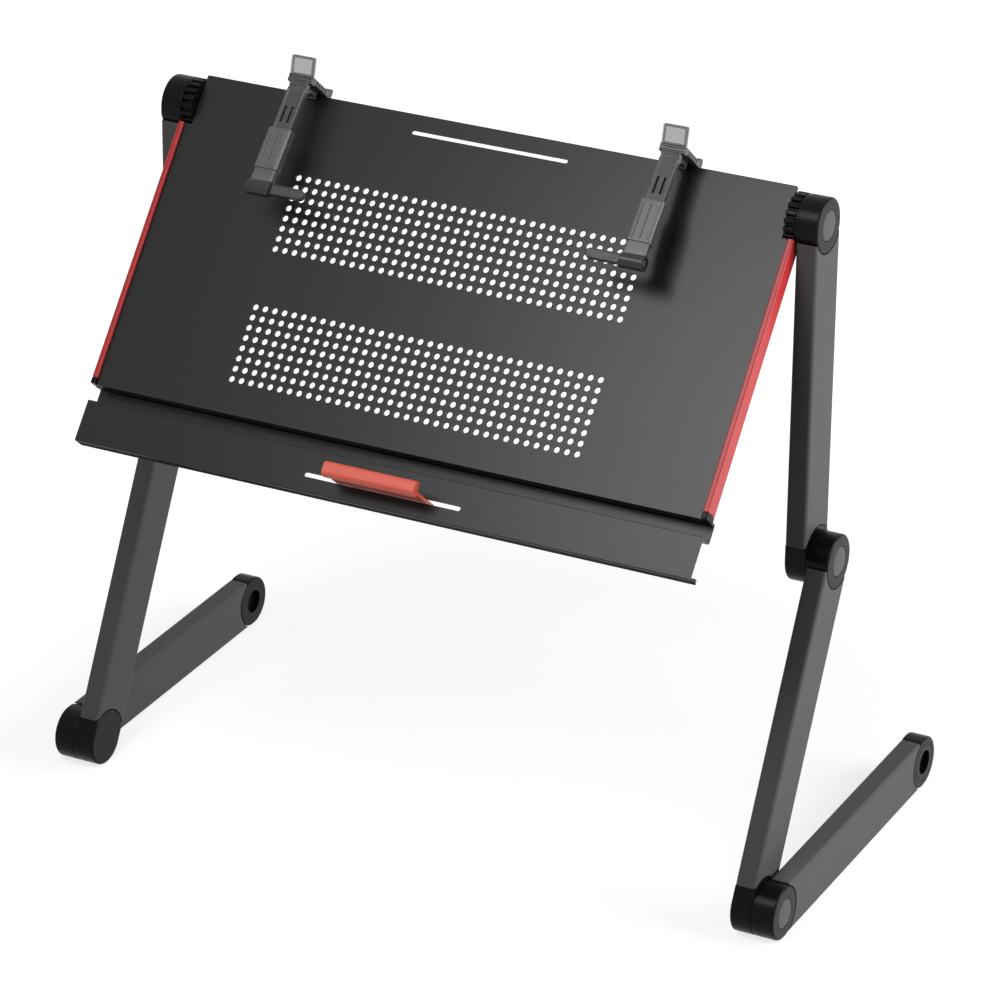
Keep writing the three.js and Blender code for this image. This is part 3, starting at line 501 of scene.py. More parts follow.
def piece(name, mesh, matrix, body, finish, node, side=1):
    """Names a mesh, puts it in the row frame, and seats it on its body in place of its CAD node."""
    mesh = mesh.copy()
    mesh.transform(MIRROR @ matrix if side < 0 else matrix)
    if side < 0:
        mesh.flip_normals()
    mesh.name = name
    mesh.polygons.foreach_set("use_smooth", [True] * len(mesh.polygons))
    mesh.set_sharp_from_angle(angle=math.radians(SHARP_ANGLE))
    mesh.materials.clear()
    mesh.materials.append(finish)
    obj = in_scene(name, mesh)
    shading = obj.modifiers.new("shading", "WEIGHTED_NORMAL")
    shading.keep_sharp = True
    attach(obj, body)
    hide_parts(node)


# ---------------------------------------------------------------- materials
CLOUD_SIZE, CLOUD_DETAIL = 38.0, 3.0
GRAIN_DETAIL = 2.0
NOISE_SPAN = (0.3, 0.7)          # what a noise mostly spans, stretched to the whole range
GLOSS_SPREAD = 0.05
RELIEF_DEPTH = 0.0002
EDGE_SPAN = (0.53, 0.62)         # pointiness from a flat face to a full edge
# How much lighter an edge is painted: wear, and on the slider a painted highlight.
WEAR_AND_HIGHLIGHT_GAIN, WEAR_AND_HIGHLIGHT_LIFT = 2.2, 0.02


def opaque(colour):
    return (*[min(1, value) for value in colour], 1)


def material(name, colour, roughness, specular, grain, bump, mottle,
             metallic=0.0, stretch=(1, 1, 1), wear_and_highlight=0.0, **extra):
    """A moulded or anodised finish: grain in the bump, soft mottling in colour and gloss, and lighter edges
    that are worn, and on the slider a painted highlight.
    """
    result = bpy.data.materials.new(name)
    result.use_nodes = True
    nodes, links = result.node_tree.nodes, result.node_tree.links
    shader = nodes["Principled BSDF"]
    shader.inputs["Metallic"].default_value = metallic
    shader.inputs["Specular IOR Level"].default_value = specular
    for socket, value in extra.items():
        shader.inputs[socket.replace("_", " ")].default_value = value
    place = nodes.new("ShaderNodeTexCoord")
    scale = nodes.new("ShaderNodeMapping")
    scale.inputs["Scale"].default_value = stretch
    links.new(place.outputs["Object"], scale.inputs["Vector"])

    def noise(size, detail):
        node = nodes.new("ShaderNodeTexNoise")
        node.inputs["Scale"].default_value = size
        node.inputs["Detail"].default_value = detail
        links.new(scale.outputs["Vector"], node.inputs["Vector"])
        return node.outputs["Fac"]

    def ramp(source, span, low, high):
        node = nodes.new("ShaderNodeMapRange")
        node.inputs["From Min"].default_value, node.inputs["From Max"].default_value = span
        node.inputs["To Min"].default_value = low
        node.inputs["To Max"].default_value = high
        links.new(source, node.inputs["Value"])
        return node.outputs["Result"]

    def mix(factor):
        node = nodes.new("ShaderNodeMix")
        node.data_type = "RGBA"
        links.new(factor, node.inputs["Factor"])
        return node

    fine = noise(grain, GRAIN_DETAIL)
    tint = mix(ramp(noise(CLOUD_SIZE, CLOUD_DETAIL), NOISE_SPAN, 0, 1))
    tint.inputs["A"].default_value = opaque(c * (1 - mottle) for c in colour)
    tint.inputs["B"].default_value = opaque(c * (1 + mottle) for c in colour)
    shown = tint.outputs["Result"]
    # Edges lightened by pointiness: wear, and where the amount is high, as on the slider, a painted
    # highlight.
    if wear_and_highlight:
        edge = nodes.new("ShaderNodeNewGeometry")
        wear_and_highlight_edge = mix(ramp(edge.outputs["Pointiness"], EDGE_SPAN, 0, wear_and_highlight))
        links.new(shown, wear_and_highlight_edge.inputs["A"])
        wear_and_highlight_edge.inputs["B"].default_value = opaque(c * WEAR_AND_HIGHLIGHT_GAIN + WEAR_AND_HIGHLIGHT_LIFT for c in colour)
        shown = wear_and_highlight_edge.outputs["Result"]
    links.new(shown, shader.inputs["Base Color"])
    gloss = ramp(fine, NOISE_SPAN, roughness - GLOSS_SPREAD, roughness + GLOSS_SPREAD)
    links.new(gloss, shader.inputs["Roughness"])
    relief = nodes.new("ShaderNodeBump")
    relief.inputs["Strength"].default_value = bump
    relief.inputs["Distance"].default_value = RELIEF_DEPTH
    links.new(fine, relief.inputs["Height"])
    links.new(relief.outputs["Normal"], shader.inputs["Normal"])
    return result


deck_black = material(
    "deck_black", (0.0038, 0.0038, 0.004), roughness=0.33, specular=0.29, grain=1800, bump=0.05, mottle=0.04
)
leg_grey = material(
    "leg_grey", (0.064, 0.064, 0.066), roughness=0.42, specular=0.08, grain=1400, bump=0.05, mottle=0.05,
    stretch=(3, 1, 1), wear_and_highlight=0.3,
)
cap_black = material(
    "cap_black", (0.004, 0.004, 0.0042), roughness=0.29, specular=0.085, grain=1500, bump=0.07, mottle=0.1
)
matt_black = material(
    "matt_black", (0.0055, 0.0055, 0.0058), roughness=0.6, specular=0.02, grain=1500, bump=0.1, mottle=0.1
)
button_grey = material(
    "button_grey", (0.075, 0.075, 0.077), roughness=0.42, specular=0.12, grain=1500, bump=0.06, mottle=0.05
)
trim_red = material(
    "trim_red", (0.48, 0.025, 0.027), roughness=0.33, specular=0.3, grain=1200, bump=0.05, mottle=0.06
)
stopper_red = material(
    "stopper_red", (0.92, 0.13, 0.085), roughness=0.36, specular=0.45, grain=1200, bump=0.05, mottle=0.05,
    Subsurface_Weight=0.15,
)
smoke = material(
    "smoke", (0.058, 0.058, 0.06), roughness=0.3, specular=0.4, grain=400, bump=0.005, mottle=0.06, wear_and_highlight=0.35
)
# The slider's copy of the clip's smoke plastic: really glossier, but also painted a shade paler, with its
# edges lightened far more as painted highlights along its ribs.
smoke_painted_highlight = material(
    "smoke_painted_highlight", (0.06, 0.06, 0.0622), roughness=0.32, specular=0.7, grain=400, bump=0.005, mottle=0.06,
    wear_and_highlight=0.8,
)
# The barrel's copy of the clip's smoke plastic, painted darker for the shade the barrel sits in.
smoke_painted_shade = material(
    "smoke_painted_shade", (0.032, 0.032, 0.0332), roughness=0.26, specular=0.28, grain=400, bump=0.005, mottle=0.06
)
smoke_thin = material(
    "smoke_thin", (0.05, 0.05, 0.052), roughness=0.25, specular=0.4, grain=900, bump=0.02, mottle=0.06,
    Alpha=0.42,
)
steel = material(
    "steel", (0.52, 0.53, 0.54), roughness=0.3, specular=0.5, grain=900, bump=0.05, mottle=0.05,
    metallic=1.0, stretch=(1, 12, 12),
)
nylon = material(
    "nylon", (0.68, 0.68, 0.64), roughness=0.45, specular=0.5, grain=900, bump=0.05, mottle=0.05
)


# ---------------------------------------------------------------- deck
def deck_panel():
    half = [
        (PLATE_HALF, FRONT_EDGE, PLATE_CORNER), (PLATE_HALF, NOTCH_END, NOTCH_CORNER),
        (NOTCH_INNER, NOTCH_END, PLATE_CORNER), (NOTCH_INNER, TOP_EDGE, TOP_CORNER),
    ]
    outline = half + [(-x, y, radius) for x, y, radius in reversed(half)]
    first = -(VENT_COLUMNS - 1) * VENT_PITCH / 2
    vents = [
        circle(VENT_RADIUS, VENT_SIDES, first + column * VENT_PITCH, field - row * VENT_PITCH)
        for field in VENT_FIELDS for row in range(VENT_ROWS) for column in range(VENT_COLUMNS)
    ]
    slot = slot_outline(SLOT_LENGTH, DECK_SLOT_WIDTH, 0, DECK_SLOT_Y)
    return prism([filleted(outline), slot, *vents], PLATE_UNDER, SURFACE, ALONG_Z, PLATE_EASE, bevel_steps=1)


def front_rail():
    """The folded sheet, a (y, z) section carried along x, with the ledge's slot and its corners cut."""
    flange_end = FRONT_EDGE + FLANGE_LENGTH
    flange_top = PLATE_UNDER - FLANGE_CLEARANCE
    flange_under = flange_top - RAIL_WALL
    near_wall = FRONT_EDGE + RAIL_WALL
    far_wall = LEDGE_BACK - RAIL_WALL
    channel_under = CHANNEL_FLOOR - RAIL_WALL
    ledge_under = LEDGE_TOP - RAIL_WALL
    lip, lip_skin, lip_foot = (LEDGE_FRONT + depth for depth in (RAIL_WALL, LIP_SKIN, LIP_FOOT))
    foot_top = CHANNEL_FLOOR + LIP_FOOT
    section = [
        (flange_end, flange_top, SHEET_EDGE), (FRONT_EDGE, flange_top, SHEET_EDGE),
        (FRONT_EDGE, CHANNEL_FLOOR, CHANNEL_INSIDE), (LEDGE_BACK, CHANNEL_FLOOR, CHANNEL_INSIDE),
        (LEDGE_BACK, LEDGE_TOP, LEDGE_BACK_ROUND), (LEDGE_FRONT, LEDGE_TOP, LEDGE_FRONT_ROUND),
        (LEDGE_FRONT, LIP_TOP), (lip_skin, LIP_TOP), (lip_skin, CHANNEL_FLOOR),
        (lip_foot, CHANNEL_FLOOR, CHANNEL_INSIDE), (lip_foot, foot_top, CHANNEL_INSIDE),
        (lip, foot_top, SHEET_EDGE), (lip, ledge_under, LEDGE_FRONT_ROUND),
        (far_wall, ledge_under, LEDGE_FOLD), (far_wall, channel_under, CHANNEL_OUTSIDE),
        (near_wall, channel_under, CHANNEL_OUTSIDE), (near_wall, flange_under, FLANGE_FOLD),
        (flange_end, flange_under, SHEET_EDGE),
    ]
    rail = prism([filleted(section)], -DECK_HALF, DECK_HALF, ALONG_X, SHEET_EASE, bevel_steps=1)
    slot = slot_outline(SLOT_LENGTH, LEDGE_SLOT_WIDTH, STOPPER_X, LEDGE_SLOT_Y)
    corners = [
        block(xs, (FRONT_EDGE, flange_end + PAST), (SURFACE - RAIL_DEPTH - GAP, SURFACE))
        for xs in ((RAIL_INNER - GAP, DECK_HALF + PAST), (-DECK_HALF - PAST, GAP - RAIL_INNER))
    ]
    return cut(rail, prism([slot], ledge_under - PAST, LEDGE_TOP + PAST), *corners)


def ledge_lip():
    """The matt edging down the front of the ledge."""
    back = LEDGE_FRONT + LIP_SKIN
    section = [
        (LEDGE_FRONT, CHANNEL_FLOOR, LIP_ROUND), (back, CHANNEL_FLOOR), (back, LIP_TOP),
        (LEDGE_FRONT, LIP_TOP),
    ]
    return prism([filleted(section, steps=4)], -DECK_HALF, DECK_HALF, ALONG_X, LIP_EASE, bevel_steps=1)


def strip_section():
    """The red strip's (z, x) section, hooked over the plate's edge."""
    crown = SURFACE + STRIP_PROUD
    skirt_end = SURFACE - STRIP_DEPTH
    skirt_inner = STRIP_OUTER - SKIRT
    under = PLATE_UNDER - GAP
    return filleted([
        (under, PLATE_HALF + GAP), (SURFACE + GAP, PLATE_HALF + GAP), (SURFACE + GAP, STRIP_INNER),
        (crown, STRIP_INNER, CROWN_INNER), (crown, STRIP_OUTER, CROWN_OUTER),
        (skirt_end, STRIP_OUTER, SKIRT_OUTSIDE), (skirt_end, skirt_inner, SKIRT_INSIDE),
        (under, skirt_inner),
    ])


def wheel_room():
    return rod(WHEEL_RADIUS + GAP, NOTCH_INNER, DECK_HALF + PAST, sides=96)


def strip():
    start = FRONT_EDGE + CORNER_LENGTH + GAP
    return cut(prism([strip_section()], start, NOTCH_END, ALONG_Y, PLATE_EASE), wheel_room())


def side_rail():
    """The black rail that carries the strip, with its tongue under the plate and its corner end."""
    high = PLATE_UNDER - 2 * GAP
    low = SURFACE - RAIL_DEPTH
    outer = STRIP_OUTER - SKIRT - GAP
    tongue = high - TONGUE_THICKNESS
    section = [
        (high, TONGUE_INNER), (high, outer), (low, outer), (low, RAIL_INNER), (tongue, RAIL_INNER),
        (tongue, TONGUE_INNER),
    ]
    start = FRONT_EDGE + GAP
    corner_end = FRONT_EDGE + CORNER_LENGTH
    tongue_start = FRONT_EDGE + FLANGE_LENGTH + GAP
    outline = filleted(section, RAIL_ROUND, steps=2)
    rail = prism([outline], tongue_start, NOTCH_END, ALONG_Y, CORNER_BREAK, bevel_steps=1)
    stem = block(
        (RAIL_INNER, outer), (start + PAST, tongue_start + PAST), (low, high), SHEET_EASE, bevel_steps=1
    )
    corner = prism([strip_section()], start, corner_end, ALONG_Y, CORNER_EASE)
    fill = block(
        (RAIL_INNER, STRIP_OUTER - CORNER_SKIN), (start + CORNER_EASE, corner_end - CORNER_EASE),
        (low, high + CORNER_SKIN),
    )
    return cut(fuse(rail, stem, corner, fill), wheel_room())


def wheel_outline():
    """Flat-topped lobes with flat-bottomed grooves between them."""
    pitch = 360 / WHEEL_LOBES
    floor = WHEEL_RADIUS - WHEEL_TOOTH
    corners = []
    for lobe in range(WHEEL_LOBES):
        for share, radius, fillet in (
            (0, WHEEL_RADIUS, LOBE_ROUND), (LOBE_END, WHEEL_RADIUS, LOBE_ROUND),
            (GROOVE_START, floor, GROOVE_ROUND), (GROOVE_END, floor, GROOVE_ROUND),
        ):
            angle = math.radians((lobe + share) * pitch)
            corners.append((radius * math.cos(angle), radius * math.sin(angle), fillet))
    return filleted(corners, steps=3)


def lock_bores(face, pin_end):
    """The cutters for a lock's ring, spring and pin, sunk from a member's outer face."""
    beyond = face + RING_POCKET_DEPTH
    return [
        rod(RING_POCKET, face - RING_POCKET_DEPTH, beyond),
        rod(SPRING_WELL, face - SPRING_WELL_DEPTH, beyond, sides=32),
        rod(PIN_HOLE, pin_end, beyond, sides=24),
    ]


def bracket():
    """The drum under the plate's end, the foot that holds it to the plate, and the wheel outside."""
    flat = PLATE_UNDER - GAP
    start = math.degrees(math.asin(flat / DRUM_RADIUS))
    under_plate = arc(0, 0, DRUM_RADIUS, 180 - start, 360 + start, steps=48)
    drum = prism([under_plate], DRUM_INNER, DRUM_OUTER, ALONG_X, DRUM_EASE, bevel_steps=3)
    rail_end = block(
        (TONGUE_INNER - GAP, DRUM_OUTER + PAST), (-DRUM_RADIUS - PAST, DRUM_FRONT),
        (-DRUM_RADIUS - PAST, DRUM_RADIUS + PAST),
    )
    wheel = prism([wheel_outline()], WHEEL_INNER, WHEEL_OUTER, ALONG_X, WHEEL_EASE)
    foot_zs = (flat - BRACKET_FOOT_THICKNESS, flat)
    foot = block((DRUM_INNER, TONGUE_INNER - GAP), BRACKET_FOOT_Y, foot_zs, BRACKET_FOOT_EASE)
    nut = rod(SPRING_WELL, DRUM_INNER - PAST, DRUM_INNER + NUT_DEPTH, sides=32)
    return cut(fuse(cut(drum, rail_end), wheel, foot), *lock_bores(WHEEL_OUTER, DRUM_INNER - PAST), nut)


def stopper():
    """A (y, z) section carried along x: a web through the ledge's slot under a round-topped head."""
    web_front, web_back = LEDGE_SLOT_Y - STOPPER_WEB_HALF, LEDGE_SLOT_Y + STOPPER_WEB_HALF
    head_y = LEDGE_SLOT_Y + STOPPER_SHIFT
    head_front, head_back = head_y - STOPPER_HEAD_HALF, head_y + STOPPER_HEAD_HALF
    head_under = SURFACE + STOPPER_RISE
    crown = head_under + STOPPER_HEIGHT
    tail = LEDGE_TOP - RAIL_WALL - STOPPER_TAIL
    section = [
        (web_back, tail, STOPPER_FOOT_EDGE), (web_back, head_under),
        (head_back, head_under), (head_back, crown, STOPPER_CROWN),
        (head_front, crown, STOPPER_CROWN), (head_front, head_under),
        (web_front, head_under), (web_front, tail, STOPPER_FOOT_EDGE),
    ]
    outline = filleted(section, STOPPER_EDGE, steps=8)
    return prism([outline], STOPPER_X - STOPPER_HALF, STOPPER_X + STOPPER_HALF, ALONG_X, FORM_EASE)


piece("deck_panel", deck_panel(), deck_frame, "deck", deck_black, "deck_plate")
piece("ledge_rail", front_rail(), deck_frame, "deck", deck_black, "front_rail")
piece("ledge_lip", ledge_lip(), deck_frame, "deck", matt_black, "front_rail")
strip_mesh, rail_mesh, bracket_mesh = strip(), side_rail(), bracket()
for side, sign in SIDES:
    for name, mesh, finish, node, slot in (
        ("red_strip", strip_mesh, trim_red, "edge_strip", "trim_red"),
        ("side_rail", rail_mesh, cap_black, "edge_rail", "cap_black"),
        ("wheel_bracket", bracket_mesh, cap_black, "hinge_bracket", "cap_black"),
    ):
        piece(f"{name}_{side}", mesh, deck_frame, "deck", finish, f"{node}_{side}", sign)
piece("ledge_stopper", stopper(), deck_frame, "stopper", stopper_red, "stopper")


# ---------------------------------------------------------------- legs
def tube(far_saddle):
    """A section's tube, from its (z, x) section, with both ends cut to the caps' saddles."""
    bore = HUB_RADIUS - TUBE_WALL
    outer_wall = TUBE_THICKNESS - TUBE_WALL
    outer = [(-HUB_RADIUS, 0), (HUB_RADIUS, 0), (HUB_RADIUS, TUBE_THICKNESS), (-HUB_RADIUS, TUBE_THICKNESS)]
    inner = [(-bore, TUBE_WALL), (bore, TUBE_WALL), (bore, outer_wall), (-bore, outer_wall)]
    outlines = [filleted(outer, TUBE_ROUND, steps=6), inner]
    saddles = [
        rod(radius, -PAST, TUBE_THICKNESS + PAST, (y, 0), sides=128)
        for radius, y in ((HEAD_SADDLE, 0), (far_saddle, LEG_SPAN))
    ]
    return cut(prism(outlines, TUBE_START, LEG_SPAN - TUBE_START, ALONG_Y), *saddles)


def hub_outline(saddle):
    """The cap's outside: half a disc, carried on to the saddle's round end."""
    edge = math.degrees(math.asin(HUB_RADIUS / saddle))
    return arc(0, 0, HUB_RADIUS, 90, 270, steps=48) + arc(0, 0, saddle, -edge, edge, steps=40)


def cap_body(saddle, inner_trim=0.0, outer_trim=0.0):
    """The cap's shell and plug. A trimmed face meets the next section, so its rim is less rounded."""
    outline = hub_outline(saddle - GAP)
    shell = prism([outline], -inner_trim, TUBE_THICKNESS + outer_trim, ALONG_X, HUB_ROUND, bevel_steps=4)
    all_over = (-saddle - PAST, saddle + PAST)
    if inner_trim:
        shell = cut(shell, block((-inner_trim - PAST, 0), all_over, all_over))
    if outer_trim:
        shell = cut(shell, block((TUBE_THICKNESS, TUBE_THICKNESS + outer_trim + PAST), all_over, all_over))
    in_wall = TUBE_WALL + GAP
    plug_half = HUB_RADIUS - in_wall
    plug = block(
        (in_wall, TUBE_THICKNESS - in_wall), (PLUG_START, saddle + PLUG_LENGTH), (-plug_half, plug_half),
        PLUG_EASE,
    )
    return fuse(shell, plug)


def head_cap():
    """The cap with the lock's outboard half: the button's recess, the ring's socket, and a collar
    that closes the gap to the member inboard of it."""
    collar = ring(COLLAR_BORE, COLLAR_RADIUS, -COLLAR_PROUD, PAST)
    before, beyond = -COLLAR_PROUD - PAST, TUBE_THICKNESS + PAST
    return cut(
        fuse(cap_body(HEAD_SADDLE, inner_trim=SEAM_TRIM), collar),
        rod(BUTTON_RECESS, RECESS_FLOOR, beyond, sides=80),
        rod(RING_SOCKET, before, RING_SOCKET_DEPTH),
        rod(PIN_CLEARANCE, before, beyond, sides=24),
    )


def tail_cap():
    """The cap with the lock's inboard half."""
    return cut(cap_body(TAIL_SADDLE, outer_trim=SEAM_TRIM), *lock_bores(TUBE_THICKNESS, PIN_END))


def end_cap():
    """The foot's tip, with a round recess in each face and a fine ring round the outer one."""
    groove = FOOT_GROOVE_WIDTH / 2
    return cut(
        cap_body(HEAD_SADDLE),
        rod(FOOT_RECESS_RADIUS, TUBE_THICKNESS - FOOT_RECESS, TUBE_THICKNESS + PAST, sides=64),
        rod(FOOT_RECESS_RADIUS, -PAST, FOOT_RECESS, sides=64),
        ring(FOOT_GROOVE_RADIUS - groove, FOOT_GROOVE_RADIUS + groove,
             TUBE_THICKNESS - FOOT_GROOVE_DEPTH, TUBE_THICKNESS + PAST),
    )


def button():
    """A shallow dome, hollow behind, with two prongs that push the ring."""
    face = TUBE_THICKNESS + BUTTON_PROUD
    under = face - BUTTON_THICKNESS
    hollow = under + HOLLOW_DEPTH
    profile = [(radius, face + height) for radius, height in BUTTON_DOME]
    profile += [(BUTTON_RADIUS, under), (BUTTON_HOLLOW, under), (BUTTON_HOLLOW, hollow), (0, hollow)]
    prongs = [
        block((PRONG_END, hollow), (-PRONG_HALF, PRONG_HALF), (z - PRONG_HALF, z + PRONG_HALF))
        for z in (PRONG_RADIUS, -PRONG_RADIUS)
    ]
    return fuse(revolve(profile, sides=80), *prongs)


def at_far_end(cap):
    """A cap mirrored to the other end of its section."""
    cap.transform(Matrix.Translation((0, LEG_SPAN, 0)) @ Matrix.Diagonal((1, -1, 1, 1)))
    cap.flip_normals()
    return cap


leg_mesh, foot_mesh = tube(TAIL_SADDLE), tube(HEAD_SADDLE)
head_mesh, button_mesh = head_cap(), button()
tail_mesh, tip_mesh = at_far_end(tail_cap()), at_far_end(end_cap())
# Section, joint at its head, frame, body, tube, and its far cap's name, mesh and CAD node
SECTIONS = (
    ("upper", "top", upper_frame, "upper_leg", leg_mesh, "upper_tail", tail_mesh, "upper_tail_cap"),
    ("lower", "middle", lower_frame, "lower_leg", leg_mesh, "lower_tail", tail_mesh, "lower_tail_cap"),
    ("foot", "bottom", foot_frame, "foot", foot_mesh, "foot_tip", tip_mesh, "foot_end_cap"),
)
for side, sign in SIDES:
    for section, joint, matrix, body, bar_mesh, far_name, far_mesh, far_node in SECTIONS:
        for name, mesh, rides, finish, node, slot in (
            (f"{section}_bar", bar_mesh, body, leg_grey, f"{section}_tube", "leg_grey"),
            (f"{section}_hub", head_mesh, body, cap_black, f"{section}_head_cap", "cap_black"),
            (far_name, far_mesh, body, cap_black, far_node, "cap_black"),
            (f"{joint}_release", button_mesh, f"{joint}_lock", button_grey, f"{joint}_button", "button_grey"),
        ):
            piece(f"{name}_{side}", mesh, matrix, f"{rides}_{side}", finish, f"{node}_{side}", sign)


# ---------------------------------------------------------------- page clips
def clip_arm():
    """The bar over the deck, in the arm's frame: raised rims, a groove across its root and two slots."""
    half, low = ARM_HALF, -ARM_THICKNESS
    rim_foot = half - ARM_RIM - ARM_SLOPE
    section = [
        (low, -half, ARM_LOW_ROUND), (low, half, ARM_LOW_ROUND), (0, half, ARM_HIGH_ROUND),
        (0, half - ARM_RIM, ARM_RIM_ROUND), (-ARM_SINK, rim_foot, ARM_SINK_ROUND),
        (-ARM_SINK, -rim_foot, ARM_SINK_ROUND), (0, ARM_RIM - half, ARM_RIM_ROUND),
        (0, -half, ARM_HIGH_ROUND),
    ]
    bar = prism([filleted(section, steps=3)], ARM_END, ARM_ROOT, ALONG_Y, SHEET_EASE, bevel_steps=1)
    across = (-half - PAST, half + PAST)
    groove = block(across, ARM_GROOVE_Y, (-ARM_GROOVE_DEPTH, PAST), FORM_EASE, bevel_steps=1)
    slots = [
        block((x - ARM_SLOT_HALF, x + ARM_SLOT_HALF), ARM_SLOT_Y, (-ARM_SLOT_DEPTH, PAST),
              FORM_EASE, bevel_steps=1)
        for x in (ARM_SLOT_X, -ARM_SLOT_X)
    ]
    return cut(bar, groove, *slots)


def clip_tab():
    """The thumb tab: a thin plate with a raised rim laid on it, leaning back from the neck's head."""
    reach, rise = TAB_TIP[0] - NECK_BACK, TAB_TIP[1] - CLIP_HEIGHT
    length = math.hypot(reach, rise)
    half = CLIP_HALF - TAB_INSET
    inner, opening_end = half - TAB_RIM, length - TAB_RIM
    outline = filleted([
        (-half, TAB_ROOT, TAB_ROOT_ROUND), (half, TAB_ROOT, TAB_ROOT_ROUND),
        (half, length, TAB_TIP_ROUND), (-half, length, TAB_TIP_ROUND),
    ], steps=4)
    corners = [(-inner, TAB_OPENING), (inner, TAB_OPENING), (inner, opening_end), (-inner, opening_end)]
    opening = filleted(corners, TAB_OPENING_ROUND, steps=4)
    plate_top = TAB_PLATE - TAB_THICKNESS
    plate = prism([outline], -TAB_THICKNESS, plate_top, ALONG_Z, SHEET_EASE, bevel_steps=1)
    rim = prism([outline, opening], plate_top + TAB_SEAM, TAB_RIM_TOP, ALONG_Z, PLATE_EASE)
    lean = Matrix.Rotation(math.atan2(rise, reach), 4, "X")
    return transformed(combined(plate, rim), Matrix.Translation((0, NECK_BACK, CLIP_HEIGHT)) @ lean)


def clip_neck():
    """The fluted wall behind the deck's upper edge, a web down to the pad on the deck, and the jaw's ears."""
    pivot = (JAW_BEYOND_EDGE, -JAW_BELOW)
    brow = NECK_FRONT - BROW
    wall = [
        (NECK_FRONT, -JAW_BELOW), (NECK_BACK, -JAW_BELOW, NECK_HEEL_ROUND),
        (NECK_BACK, NECK_TOP, NECK_CROWN_ROUND), (brow, NECK_TOP, BROW_CROWN_ROUND),
        (brow, CLIP_HEIGHT - BROW_LOW, BROW_ROUND), (NECK_FRONT, CLIP_HEIGHT - BROW_FOOT, BROW_ROUND),
    ]
    web = [
        (-PAD_LENGTH, GAP, PAD_ROUND), (NECK_FRONT + PAST, GAP),
        (NECK_FRONT + PAST, CLIP_HEIGHT - WEB_TOP),
        (WEB_ELBOW[0], CLIP_HEIGHT + WEB_ELBOW[1], WEB_ELBOW_ROUND),
        (WEB_WAIST[0], GAP + WEB_WAIST[1], WEB_WAIST_ROUND),
        (WEB_ANKLE[0], GAP + WEB_ANKLE[1], WEB_ANKLE_ROUND),
        (-PAD_LENGTH, GAP + PAD_THICKNESS, PAD_ROUND),
    ]
    neck = prism([filleted(wall, steps=4)], -CLIP_HALF, CLIP_HALF, ALONG_X, MOULD_EASE)
    root = prism([filleted(web, steps=4)], -PAD_HALF, PAD_HALF, ALONG_X, MOULD_EASE)
    ear_inner = KNUCKLE_HALF + GAP
    ears = [
        rod(KNUCKLE_RADIUS, *xs, pivot, sides=40, bevel=FORM_EASE)
        for xs in ((ear_inner, CLIP_HALF), (-CLIP_HALF, -ear_inner))
    ]
    room = KNUCKLE_RADIUS + 2 * GAP
    knuckle_room = block(
        (-ear_inner, ear_inner), (JAW_BEYOND_EDGE - room - PAST, JAW_BEYOND_EDGE + room),
        (-JAW_BELOW - room, room - JAW_BELOW),
    )
    across = (-CLIP_HALF - PAST, CLIP_HALF + PAST)
    hole = rod(JAW_PIN_HOLE, *across, pivot, sides=24)
    flutes = [
        block((x - FLUTE_DEPTH, x + FLUTE_DEPTH), (NECK_FRONT - PAST, NECK_BACK + PAST),
              (z - FLUTE_HALF, z + FLUTE_HALF), SHEET_EASE, bevel_steps=1)
        for x in (CLIP_HALF, -CLIP_HALF)
        for z in (FLUTE_FIRST + FLUTE_PITCH * i for i in range(FLUTES))
    ]
    flutes += [
        block(across, (y - CROWN_FLUTE_HALF, y + CROWN_FLUTE_HALF),
              (CLIP_HEIGHT - CROWN_FLUTE_DEPTH, CLIP_HEIGHT + PAST), FINE_EASE, bevel_steps=1)
        for y in CROWN_FLUTES
    ]
    return cut(cut(fuse(neck, root, *ears), knuckle_room, hole), *flutes)


def clip_jaw():
    """The spring-loaded plate under the deck, round its own pivot, with a short lever behind."""
    top = JAW_BELOW - PLATE_THICKNESS - GAP
    root = -JAW_BEYOND_EDGE - GAP
    tip = -JAW_BEYOND_EDGE - JAW_LENGTH
    under = -KNUCKLE_RADIUS - GAP
    bottom_face = under - JAW_THICK
    plate = [
        (tip, top, JAW_EDGE), (tip, top - JAW_THIN, JAW_EDGE), (root, bottom_face, JAW_HEEL),
        (JAW_LEVER, bottom_face, JAW_LEVER_ROUND), (JAW_LEVER, under, JAW_LEVER_TIP),
        (root + JAW_STEP, under, JAW_LEVER_ROUND), (root, top, JAW_EDGE),
    ]
    tongue = [
        (root - PAST, top - JAW_TONGUE_DROP), (root - PAST, top - JAW_THICK), (0, under - JAW_THIN),
        (PAST, under), (PAST, 0),
    ]
    grips = [
        block((-JAW_HALF - PAST, JAW_HALF + PAST), (y - GRIP_HALF, y + GRIP_HALF),
              (top - GRIP_DEPTH, top + PAST), FINE_EASE, bevel_steps=1)
        for y in (tip + GRIP_FIRST + GRIP_PITCH * i for i in range(GRIPS))
    ]
    return cut(
        fuse(
            prism([filleted(plate, steps=3)], -JAW_HALF, JAW_HALF, ALONG_X, MOULD_EASE),
            prism([filleted(tongue, JAW_TONGUE_ROUND, steps=2)], -KNUCKLE_HALF, KNUCKLE_HALF, ALONG_X),
            rod(KNUCKLE_RADIUS, -KNUCKLE_HALF, KNUCKLE_HALF, sides=40, bevel=SHEET_EASE, bevel_steps=1),
            rod(JAW_PIN, -CLIP_HALF, CLIP_HALF, sides=24, bevel=SHEET_EASE, bevel_steps=1),
        ),
        *grips,
    )


